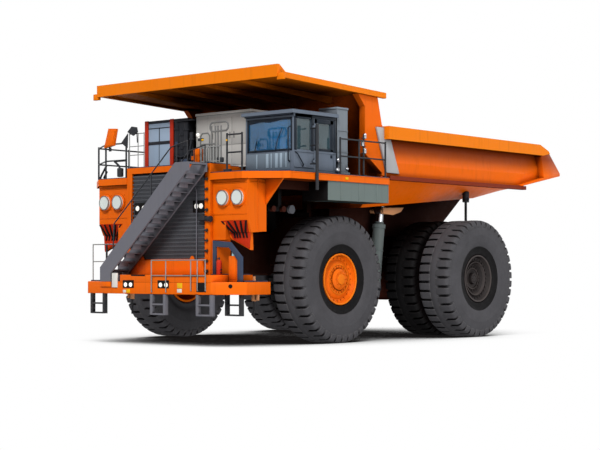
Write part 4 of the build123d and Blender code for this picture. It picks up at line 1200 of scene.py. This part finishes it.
        links.box(8.22, 8.345, 2.37, 2.60, 1.42, 1.70, 0.01)
        links.bar(at(8.27, 2.46, 1.68), at(8.27, 2.46, 1.20), 0.07, 16)
        links.bar(at(8.27, 2.60, 1.52), at(8.27, 2.60, 1.22), 0.05, 16)
        links.bar(at(8.27, 2.46, 1.88), at(8.27, 2.46, 1.68), 0.05, 16)
        links.mirror()
        links.done("pale_orange")
        rods = Piece("bumper_rear_rods")
        rods.bar(at(8.27, 2.46, 1.22), at(8.27, 2.46, 0.76), 0.03, 12)
        rods.mirror()
        rods.done("rail_black")
        return {"FINISHED"}


class TRUCK_OT_stair(bpy.types.Operator):
    """Makes the stair's handrails and tread noses"""
    bl_idname = "truck.stair"
    bl_label = "Stair"

    def execute(self, context):
        rails = Piece("stair_handrails")
        for ahead, foot, low, high in (
            (STAIR_FACE - 0.025, (-1.38, 2.50), (-1.33, 3.36), (0.98, 5.39)),
            (STAIR_FACE - 0.695, (-1.38, 2.50), (-1.33, 3.02), (0.98, 5.32)),
        ):
            rails.pipe(
                [
                    at(ahead, *foot),
                    at(ahead, *low),
                    at(ahead, *high),
                    at(ahead, 1.62, high[1] + 0.14),
                    at(ahead, 1.62, 4.96),
                ],
                0.018,
            )
            rails.bar(at(ahead, 1.20, 4.90), at(ahead, 1.20, high[1] + 0.05), 0.016, 10)
            for y in (-0.60, 0.20):
                share = (y - low[0]) / (high[0] - low[0])
                top = low[1] + share * (high[1] - low[1])
                rails.bar(at(ahead, y, 2.05 + (y + 1.905) * 0.928), at(ahead, y, top), 0.016, 10)
        rails.done("rail_black")
        noses = Piece("stair_tread_noses")
        treads = 12
        for i in range(treads):
            share = i / (treads - 1)
            y = -1.68 + 0.12 + share * (1.38 + 1.68 - 0.12)
            z = 2.03 + share * (4.64 - 2.03)
            noses.box(
                STAIR_FACE - 0.665, STAIR_FACE - 0.055, y - 0.125, y - 0.085, z - 0.03, z + 0.042, 0.006
            )
            noses.box(STAIR_FACE - 0.42, STAIR_FACE - 0.10, y + 0.02, y + 0.124, z - 0.115, z + 0.002, 0.01)
        noses.done("tread_pale")
        return {"FINISHED"}


class TRUCK_OT_deck(bpy.types.Operator):
    """Makes the deck's plates, gate, pipes, mirrors and lamps"""
    bl_idname = "truck.deck"
    bl_label = "Deck"

    def execute(self, context):
        gate_ahead, pipe_ahead, gate_foot = 9.12, 9.10, 4.98
        sheets = Piece("deck_sheets")
        outline = (
            (4.10, 1.27),
            (4.10, 3.885),
            (8.395, 3.885),
            (9.185, 2.895),
            (9.185, 1.695),
            (8.37, 1.695),
            (8.37, 1.27),
        )
        sheets.plate([at(a, y, 4.701) for a, y in outline], Vector((0, 0, 0.022)), 0.003)
        sheets.mirror()
        sheets.plate(
            [at(a, y, 4.971) for a, y in ((8.385, -1.67), (8.385, 1.67), (9.175, 1.67), (9.175, -1.67))],
            Vector((0, 0, 0.022)),
            0.003,
        )
        sheets.plate(
            [at(a, y, 4.971) for a, y in ((5.41, -1.24), (5.41, 1.24), (8.37, 1.24), (8.37, -1.24))],
            Vector((0, 0, 0.018)),
            0.003,
        )
        sheets.done("plate_blue")
        gate = Piece("front_gate")
        for i in range(7):
            y = 1.27 + 0.12 * i
            gate.bar(at(gate_ahead, y, gate_foot), at(gate_ahead, y, 5.42), 0.028, 10)
        gate.bar(at(gate_ahead, 1.25, 5.42), at(gate_ahead, 2.01, 5.42), 0.024, 10)
        gate.bar(at(gate_ahead, 1.25, 5.02), at(gate_ahead, 2.01, 5.02), 0.024, 10)
        gate.done("gate_grey")
        pipes = Piece("front_pipes")
        ring = []
        for i in range(25):
            angle = 2 * math.pi * i / 24
            ring.append(
                at(
                    pipe_ahead,
                    1.945 + (0.22 if math.cos(angle) > 0 else -0.22) + 0.125 * math.cos(angle),
                    5.955 + 0.125 * math.sin(angle),
                )
            )
        pipes.pipe(ring, 0.026, 12)
        for y in (1.66, 1.80, 1.90, 2.02):
            pipes.bar(at(pipe_ahead, y, gate_foot), at(pipe_ahead, y, 5.98), 0.022, 12)
        pipes.pipe(
            [
                at(pipe_ahead, 1.23, gate_foot),
                at(pipe_ahead, 1.23, 5.72),
                at(pipe_ahead, 1.30, 5.80),
                at(pipe_ahead, 1.52, 5.80),
                at(pipe_ahead, 1.58, 5.72),
                at(pipe_ahead, 1.58, gate_foot),
            ],
            0.022,
            12,
        )
        pipes.box(9.08, 9.13, 1.23, 1.80, 5.475, 5.515, 0.006)
        pipes.done("pipe_grey")
        fittings = Piece("front_gate_fittings")
        fittings.box(9.04, 9.12, 1.14, 1.30, 5.60, 5.68, 0.01)
        fittings.box(9.02, 9.14, 1.86, 2.06, 4.98, 5.12, 0.02)
        fittings.box(9.10, 9.16, 2.15, 2.42, 4.72, 4.78, 0.006)
        fittings.done("rail_black")
        lamp = Piece("gate_lamp")
        lamp.ball(at(9.12, 1.15, 5.77), 0.055, 16)
        lamp.bar(at(9.09, 1.15, 5.66), at(9.09, 1.15, 5.76), 0.02, 10)
        lamp.done("work_lens")
        tags = Piece("gate_tags")
        tags.box(9.13, 9.145, 1.30, 1.38, 5.60, 5.65, 0.002)
        tags.disc(at(9.16, 2.285, 5.56), (1, 0, 0), 0.03, 0.01)
        tags.done("marker_yellow")
        case = Piece("centre_case")
        case.box(8.95, 9.14, 0.98, 1.22, 4.985, 5.40, 0.02)
        case.box(8.99, 9.15, 0.90, 1.02, 5.08, 5.20, 0.02)
        case.done("front_orange")
        rails = Piece("centre_guard")
        for y in (-1.66, -1.30, -1.05):
            rails.bar(at(9.10, y, 4.98), at(9.10, y, 5.98), 0.013, 10)
        for z in (5.35, 5.60, 5.96):
            rails.bar(at(9.10, -1.66, z), at(9.10, -1.05, z), 0.012, 10)
        rails.done("gate_grey")
        mirrors = Piece("corner_mirrors")
        mirrors.plate(
            [at(9.15, y, z) for y, z in ((-1.94, 5.72), (-1.66, 5.98), (-1.68, 5.56))],
            Vector((0.03, 0, 0)),
            0.004,
        )
        mirrors.pipe([at(9.13, -1.30, 5.70), at(9.13, -1.32, 5.98), at(9.13, -1.44, 6.06)], 0.014)
        mirrors.plate(
            [
                at(9.13, y, z)
                for y, z in ((-1.68, 6.02), (-1.50, 6.17), (-1.30, 6.14), (-1.26, 6.00), (-1.44, 5.90))
            ],
            Vector((0.05, 0, 0)),
            0.006,
        )
        mirrors.pipe([at(9.12, -2.28, 5.20), at(9.16, -2.06, 5.08), at(9.18, -1.98, 4.98)], 0.03, 10)
        mirrors.box(9.12, 9.24, -2.06, -1.88, 4.74, 5.00, 0.03)
        mirrors.bar(at(9.12, -2.30, 5.20), at(9.12, -1.76, 5.20), 0.016, 10)
        mirrors.pipe([at(9.15, -2.60, 5.10), at(8.98, -3.02, 4.84), at(8.94, -3.12, 4.74)], 0.03, 10)
        mirrors.pipe([at(9.12, -2.62, 4.92), at(9.02, -2.86, 4.76)], 0.03, 10)
        mirrors.box(9.165, 9.195, -2.46, -2.36, 5.50, 5.62, 0.01)
        mirrors.done("rail_black")
        back = Piece("right_mirror_back")
        back.plate(
            [at(9.252, y, z) for y, z in ((-2.55, 5.64), (-2.39, 6.12), (-2.12, 6.10), (-2.23, 5.68))],
            Vector((0.012, 0, 0)),
            0.004,
        )
        back.done("front_orange")
        return {"FINISHED"}


class TRUCK_OT_grid_box(bpy.types.Operator):
    """Makes the grid box's posts, panes, bars and the machinery beside it"""
    bl_idname = "truck.grid_box"
    bl_label = "Grid box"

    def execute(self, context):
        posts = Piece("grid_posts")
        for y in (-2.43, -1.35):
            posts.box(7.69, 7.735, y - 0.075, y + 0.075, 4.98, 6.49, 0.008)
        posts.done("safety_red")
        panes = Piece("grid_panes")
        panes.box(7.69, 7.708, -2.36, -1.42, 5.00, 6.42, 0.002)
        panes.done("pale_pane")
        bars = Piece("grid_bars")
        for y0, y1, z0, z1 in (
            (-2.36, -1.42, 6.40, 6.47),
            (-2.36, -1.42, 6.245, 6.265),
            (-2.36, -1.42, 5.77, 5.86),
            (-2.36, -1.42, 4.98, 5.03),
            (-1.90, -1.88, 5.86, 6.25),
            (-1.90, -1.89, 5.03, 5.77),
        ):
            bars.box(7.70, 7.722, y0, y1, z0, z1, 0.003)
        for y, low, high, radius in (
            (-1.16, 5.02, 6.38, 0.085),
            (-0.96, 5.02, 6.20, 0.07),
            (-0.78, 5.02, 6.34, 0.08),
            (-0.58, 5.02, 6.05, 0.06),
        ):
            bars.bar(at(7.66, y, low), at(7.66, y, high), radius, 20)
            for z in (low + 0.25, (low + high) / 2, high - 0.2):
                bars.bar(at(7.66, y, z - 0.03), at(7.66, y, z + 0.03), radius + 0.022, 20)
        bars.box(7.45, 7.74, -1.25, -0.47, 6.38, 6.43, 0.01)
        bars.box(7.45, 7.76, -1.25, -0.47, 4.985, 5.06, 0.01)
        bars.pipe(
            [at(7.74, -1.20, 5.40), at(7.76, -0.90, 5.34), at(7.76, -0.60, 5.42), at(7.74, -0.50, 5.80)],
            0.028,
            12,
        )
        bars.box(5.95, 7.62, -2.49, -1.26, 4.724, 4.972, 0.01)
        for i in range(14):
            z = 5.10 + 0.10 * i
            bars.box(5.98, 7.60, -2.512, -2.498, z, z + 0.05, 0.003)
        bars.done("machine_dark")
        blue = Piece("grid_fittings")
        blue.box(7.70, 7.78, -0.92, -0.66, 5.06, 5.28, 0.02)
        blue.disc(at(7.74, -1.12, 5.75), (1, 0, 0), 0.06, 0.03)
        blue.done("plate_blue")
        return {"FINISHED"}


class TRUCK_OT_cabinet(bpy.types.Operator):
    """Makes the control cabinet's doors, cap and seams"""
    bl_idname = "truck.cabinet"
    bl_label = "Control cabinet"

    def execute(self, context):
        doors = Piece("cabinet_doors")
        for y0, y1 in ((-0.42, 0.30), (0.32, 0.98), (1.00, 1.67)):
            doors.box(7.595, 7.612, y0, y1, 5.62, 6.40, 0.006)
            doors.box(7.595, 7.612, y0, y1, 5.04, 5.60, 0.006)
        for a0, a1 in ((5.94, 6.72), (6.74, 7.56)):
            doors.box(a0, a1, 1.695, 1.712, 5.04, 6.40, 0.006)
        doors.done("cabinet_beige")
        cap = Piece("cabinet_cap")
        cap.box(5.88, 7.63, -0.47, 1.72, 6.50, 6.575, 0.012)
        cap.done("cabinet_pale")
        grips = Piece("cabinet_grips")
        for y in (0.24, 0.92, 1.08):
            grips.bar(at(7.625, y, 5.80), at(7.625, y, 5.98), 0.011, 8)
            grips.bar(at(7.605, y, 5.82), at(7.625, y, 5.82), 0.009, 8)
            grips.bar(at(7.605, y, 5.96), at(7.625, y, 5.96), 0.009, 8)
        grips.done("bolt_steel")
        return {"FINISHED"}


class TRUCK_OT_cab(bpy.types.Operator):
    """Makes the cab's glass, seals, visor, white plates just behind the windscreen, panel, wiper and steering
    wheel
    """
    bl_idname = "truck.cab"
    bl_label = "Cab"

    def execute(self, context):
        glass = Piece("windscreen")
        glass.box(7.900, 7.925, 1.93, 3.56, 5.31, 6.20)
        glass.done("cab_glass")
        sides = Piece("cab_panes")
        sides.box(6.33, 7.80, 1.885, 1.900, 5.31, 6.20)
        sides.box(6.205, 6.220, 2.08, 3.41, 5.41, 6.20)
        sides.box(7.22, 7.86, 3.600, 3.615, 5.31, 6.20)
        sides.done("side_glass")
        door = Piece("door_pane")
        door.box(6.40, 7.02, 3.600, 3.615, 5.37, 6.12)
        door.done("side_glass", "door")
        seals = Piece("cab_seals")
        for y0, y1, z0, z1 in (
            (1.93, 3.56, 6.15, 6.20),
            (1.93, 3.56, 5.29, 5.35),
            (1.91, 1.97, 5.29, 6.20),
            (3.52, 3.58, 5.29, 6.20),
        ):
            seals.box(7.935, 7.957, y0, y1, z0, z1, 0.006)
        for a0, a1, z0, z1 in (
            (7.125, 7.245, 5.31, 6.22),
            (7.835, 7.948, 5.31, 6.22),
            (7.20, 7.90, 6.175, 6.295),
            (6.19, 7.90, 6.22, 6.297),
            (6.185, 6.285, 5.31, 6.24),
        ):
            seals.box(a0, a1, 3.636, 3.647, z0, z1, 0.003)
        seals.done("cab_black")
        frame_pieces = Piece("door_frame")
        for a0, a1, z0, z1 in (
            (6.30, 6.425, 5.34, 6.205),
            (6.995, 7.10, 5.34, 6.205),
            (6.30, 7.10, 6.095, 6.205),
            (6.30, 7.10, 5.33, 5.395),
        ):
            frame_pieces.box(a0, a1, 3.636, 3.646, z0, z1, 0.003)
        frame_pieces.box(6.36, 6.42, 3.636, 3.668, 5.16, 5.24, 0.006)
        frame_pieces.done("cab_black", "door")
        visor = Piece("sun_visor")
        visor.plate(
            [
                at(7.93, y, z)
                for y, z in (
                    (1.96, 6.19),
                    (3.54, 6.19),
                    (3.50, 6.14),
                    (3.20, 6.15),
                    (2.95, 6.12),
                    (2.70, 6.10),
                    (2.40, 6.13),
                    (2.15, 6.10),
                    (1.98, 6.08),
                )
            ],
            Vector((0.02, 0, 0)),
            0.003,
        )
        visor.box(7.945, 8.06, 1.90, 3.60, 6.255, 6.30, 0.008)
        visor.done("cab_black")
        # white plates just behind the windscreen
        posts = Piece("windscreen_white_plates")
        for outline in (
            ((2.16, 5.36), (2.34, 5.36), (2.29, 5.90), (2.25, 6.00), (2.21, 5.90)),
            ((2.66, 5.36), (2.76, 5.36), (2.76, 5.94), (2.66, 5.94)),
            ((3.02, 5.36), (3.20, 5.36), (3.20, 5.96), (3.02, 5.96)),
        ):
            posts.plate([at(7.870, y, z) for y, z in outline], Vector((0.012, 0, 0)), 0.002)
        posts.done("marker_white")
        panel = Piece("cab_front_panel")
        panel.box(7.951, 7.957, 1.88, 3.50, 4.78, 5.25, 0.002)
        panel.done("panel_pale")
        wheel = Piece("steering_wheel")
        wheel.turned(
            [(0.235, -0.014), (0.249, 0.0), (0.235, 0.014), (0.221, 0.0)],
            at(7.42, 2.80, 5.50),
            40,
            closed=True,
            axis="X",
        )
        wheel.bar(at(7.42, 2.58, 5.50), at(7.42, 3.02, 5.50), 0.014, 8)
        wheel.bar(at(7.42, 2.80, 5.28), at(7.50, 2.80, 5.50), 0.02, 10)
        wheel.bar(at(7.44, 2.80, 5.50), at(7.60, 2.80, 5.30), 0.03, 12)
        wheel.done("cab_black")
        strips = Piece("cab_front_strips")
        for y0, y1 in ((2.26, 2.30), (2.62, 2.72), (2.80, 2.84), (2.96, 3.06), (3.14, 3.22), (3.34, 3.38)):
            strips.box(7.945, 7.966, y0, y1, 4.84, 5.24, 0.006)
        strips.done("strip_pale")
        wiper = Piece("cab_wiper")
        wiper.pipe([at(7.965, 2.95, 5.30), at(7.965, 3.05, 5.60), at(7.965, 3.22, 5.92)], 0.011, 8)
        wiper.pipe([at(7.965, 2.20, 5.30), at(7.965, 2.28, 5.60)], 0.011, 8)
        wiper.pipe(
            [at(7.97, 3.50, 5.00), at(8.03, 3.50, 5.03), at(8.03, 3.50, 5.90), at(7.95, 3.50, 5.95)],
            0.016,
            10,
        )
        wiper.pipe(
            [at(7.60, 3.645, 4.86), at(7.62, 3.70, 4.92), at(7.86, 3.70, 5.20), at(7.90, 3.645, 5.26)],
            0.016,
            10,
        )
        wiper.done("cab_black")
        ledges = Piece("cab_ledges")
        ledges.box(6.20, 7.10, 3.638, 3.652, 5.27, 5.31, 0.004)
        ledges.box(7.14, 7.94, 3.638, 3.655, 5.26, 5.30, 0.004)
        ledges.box(6.14, 8.05, 1.80, 3.69, 6.388, 6.402, 0.004)
        ledges.box(7.14, 7.94, 3.638, 3.655, 4.84, 4.87, 0.004)
        ledges.done("cab_grey")
        return {"FINISHED"}


class TRUCK_OT_side_gear(bpy.types.Operator):
    """Makes the tower's fittings, lamp post, tank straps and under-deck gear"""
    bl_idname = "truck.side_gear"
    bl_label = "Side gear"

    def execute(self, context):
        tower = Piece("tower_trim")
        tower.box(5.60, 6.10, 2.93, 3.62, 6.56, 6.62, 0.012)
        tower.box(5.58, 6.12, 2.93, 3.66, 4.722, 4.80, 0.012)
        for z in (5.35, 5.95):
            tower.box(5.61, 6.09, 2.94, 3.612, z, z + 0.02, 0.004)
        tower.plate(
            [at(a, 3.60, z) for a, z in ((5.63, 4.80), (6.07, 4.80), (6.07, 5.05), (5.90, 5.05))],
            Vector((0, 0.05, 0)),
            0.006,
        )
        tower.done("tower_grey")
        silver = Piece("tower_fittings")
        for a, z, radius in ((6.10, 5.12, 0.075), (6.14, 4.84, 0.085), (5.72, 4.90, 0.05)):
            silver.ball(at(a, 3.66, z), radius, 18)
            silver.bar(at(a, 3.58, z), at(a, 3.68, z), radius * 0.7, 16)
        for a, z in ((5.10, 5.42), (5.20, 5.62), (5.10, 5.84)):
            silver.bar(at(a, 3.80, z - 0.05), at(a, 3.80, z + 0.05), 0.05, 16)
            silver.ball(at(a, 3.80, z + 0.05), 0.05, 16)
        silver.done("bright_rod")
        post_y = 3.80
        post = Piece("lamp_post")
        post.bar(at(5.15, post_y, 4.722), at(5.15, post_y, 5.88), 0.026, 12)
        post.box(5.07, 5.23, 3.74, 3.86, 4.722, 4.745, 0.004)
        for z in (5.37, 5.57, 5.79):
            post.bar(at(5.05, post_y, z), at(5.24, post_y, z), 0.014, 10)
        for z in (4.95, 5.45, 5.92):
            post.bar(at(7.34, 3.70, z), at(7.34, 3.945, z), 0.02, 10)
        post.done("rail_black")
        straps = Piece("tank_straps")
        for a in (4.65, 5.45, 6.25):
            straps.box(a - 0.03, a + 0.03, 2.945, 3.889, 3.972, 4.50, 0.005)
        straps.mirror()
        straps.done("tank_green")
        # black sheets on the tanks' front faces: painted shade
        shade_sheet = Piece("tank_front_shade_sheets")
        shade_sheet.box(6.801, 6.815, 2.96, 3.87, 3.97, 4.49, 0.004)
        shade_sheet.mirror()
        shade_sheet.done("black_and_shade")
        bands = Piece("edge_bands")
        bands.box(4.10, 8.38, 3.895, 3.908, 4.512, 4.535, 0.004)
        bands.box(4.10, 8.38, 3.895, 3.908, 4.675, 4.699, 0.004)
        bands.mirror()
        bands.done("front_orange")
        marks = Piece("edge_marker")
        marks.box(5.96, 6.08, 3.898, 3.912, 4.57, 4.64, 0.002)
        marks.mirror()
        marks.done("marker_yellow")
        bar = Piece("under_deck_bar")
        bar.box(7.15, 8.12, 2.80, 2.86, 3.66, 3.80, 0.01)
        bar.box(7.58, 7.72, 2.76, 2.86, 3.78, 4.33, 0.01)
        bar.mirror()
        bar.done("black_and_shade")
        red = Piece("under_deck_filters")
        for a in (7.59, 8.00):
            red.bar(at(a, 2.86, 3.73), at(a, 2.96, 3.73), 0.085, 24)
        red.mirror()
        red.done("axle_red")
        grey = Piece("under_deck_disc")
        grey.bar(at(7.24, 2.86, 3.73), at(7.24, 2.95, 3.73), 0.12, 32)
        grey.mirror()
        grey.done("grille_black")
        return {"FINISHED"}


class TRUCK_OT_hoists(bpy.types.Operator):
    """Makes the hoists' collars, sleeves, foot caps and straps, and a black box over the rear axle that fills
    the frame's arch as painted shade
    """
    bl_idname = "truck.hoists"
    bl_label = "Hoists"

    def execute(self, context):
        foot_ahead, foot_height = 1.900, 1.500
        eye_ahead, eye_height = 1.62, 3.90
        lean, rise = -0.1155, 0.9933
        hoist_y = 1.6
        for side, sign in SIDES:
            def up(distance):
                """The point of this hoist's line that lies distance from its foot."""
                return at(foot_ahead + lean * distance, hoist_y * sign, foot_height + rise * distance)
            collars = Piece("hoist_collars_" + side)
            for low, high, radius in ((0.30, 0.36, 0.205), (1.15, 1.19, 0.20), (1.86, 1.985, 0.212)):
                collars.bar(up(low), up(high), radius, 40)
            collars.done("hoist_grey", "barrel_" + side)
            sleeve = Piece("hoist_eye_sleeve_" + side)
            sleeve.bar(
                at(eye_ahead, sign * 1.42, eye_height), at(eye_ahead, sign * 1.78, eye_height), 0.115, 28
            )
            sleeve.done("pale_orange", "rod_" + side)
            cover = Piece("hoist_rod_cover_" + side)
            cover.bar(up(2.03), up(2.33), 0.115, 28)
            cover.done("hoist_grey", "rod_" + side)
        # a black box under the frame's arch: painted shade
        box = Piece("axle_arch_shade_box")
        box.box(-0.98, -0.30, -0.42, 0.42, 2.18, 2.64, 0.04)
        box.done("black_and_shade")
        ends = Piece("hoist_foot_caps")
        ends.bar(at(foot_ahead, 1.78, foot_height), at(foot_ahead, 1.815, foot_height), 0.10, 24)
        ends.mirror()
        ends.done("machine_dark")
        lugs = Piece("hoist_lug_straps")
        lugs.plate(
            [
                at(a, 1.80, z)
                for a, z in ((1.74, 3.80), (1.74, 3.98), (0.70, 4.02), (0.84, 3.88), (1.25, 3.77))
            ],
            Vector((0, 0.04, 0)),
            0.004,
        )
        lugs.mirror()
        lugs.done("pale_orange", "dump_body")
        return {"FINISHED"}


CLASSES = [
    TruckFinish, TruckTyres, TruckStage, TRUCK_OT_stage, TRUCK_OT_paintwork, TRUCK_OT_tyres, TRUCK_OT_rims,
    TRUCK_OT_body_trim, TRUCK_OT_grille, TRUCK_OT_headlamps, TRUCK_OT_bumper, TRUCK_OT_stair, TRUCK_OT_deck,
    TRUCK_OT_grid_box, TRUCK_OT_cabinet, TRUCK_OT_cab, TRUCK_OT_side_gear, TRUCK_OT_hoists,
]


class TRUCK_PT_panel(bpy.types.Panel):
    """Lists the truck's pieces and settings"""
    bl_idname = "TRUCK_PT_panel"
    bl_label = "Dump truck"
    bl_space_type = "VIEW_3D"
    bl_region_type = "UI"
    bl_category = "Dump truck"

    def draw(self, context):
        for group in (context.scene.truck_finish, context.scene.truck_tyres, context.scene.truck_stage):
            for key in type(group).__annotations__:
                self.layout.prop(group, key)
        for cls in CLASSES:
            if issubclass(cls, bpy.types.Operator):
                self.layout.operator(cls.bl_idname)


def register():
    """Adds the classes and the scene's settings."""
    for cls in CLASSES + [TRUCK_PT_panel]:
        bpy.utils.register_class(cls)
    bpy.types.Scene.truck_finish = bpy.props.PointerProperty(type=TruckFinish)
    bpy.types.Scene.truck_tyres = bpy.props.PointerProperty(type=TruckTyres)
    bpy.types.Scene.truck_stage = bpy.props.PointerProperty(type=TruckStage)


def unregister():
    """Takes the settings and classes away again."""
    del bpy.types.Scene.truck_stage
    del bpy.types.Scene.truck_tyres
    del bpy.types.Scene.truck_finish
    for cls in reversed(CLASSES + [TRUCK_PT_panel]):
        bpy.utils.unregister_class(cls)


def main():
    """Makes the whole scene."""
    register()
    bpy.ops.truck.stage()
    bpy.ops.truck.paintwork()
    bpy.ops.truck.tyres()
    bpy.ops.truck.rims()
    bpy.ops.truck.body_trim()
    bpy.ops.truck.grille()
    bpy.ops.truck.headlamps()
    bpy.ops.truck.bumper()
    bpy.ops.truck.stair()
    bpy.ops.truck.deck()
    bpy.ops.truck.grid_box()
    bpy.ops.truck.cabinet()
    bpy.ops.truck.cab()
    bpy.ops.truck.side_gear()
    bpy.ops.truck.hoists()


if __name__ == "__main__":
    main()
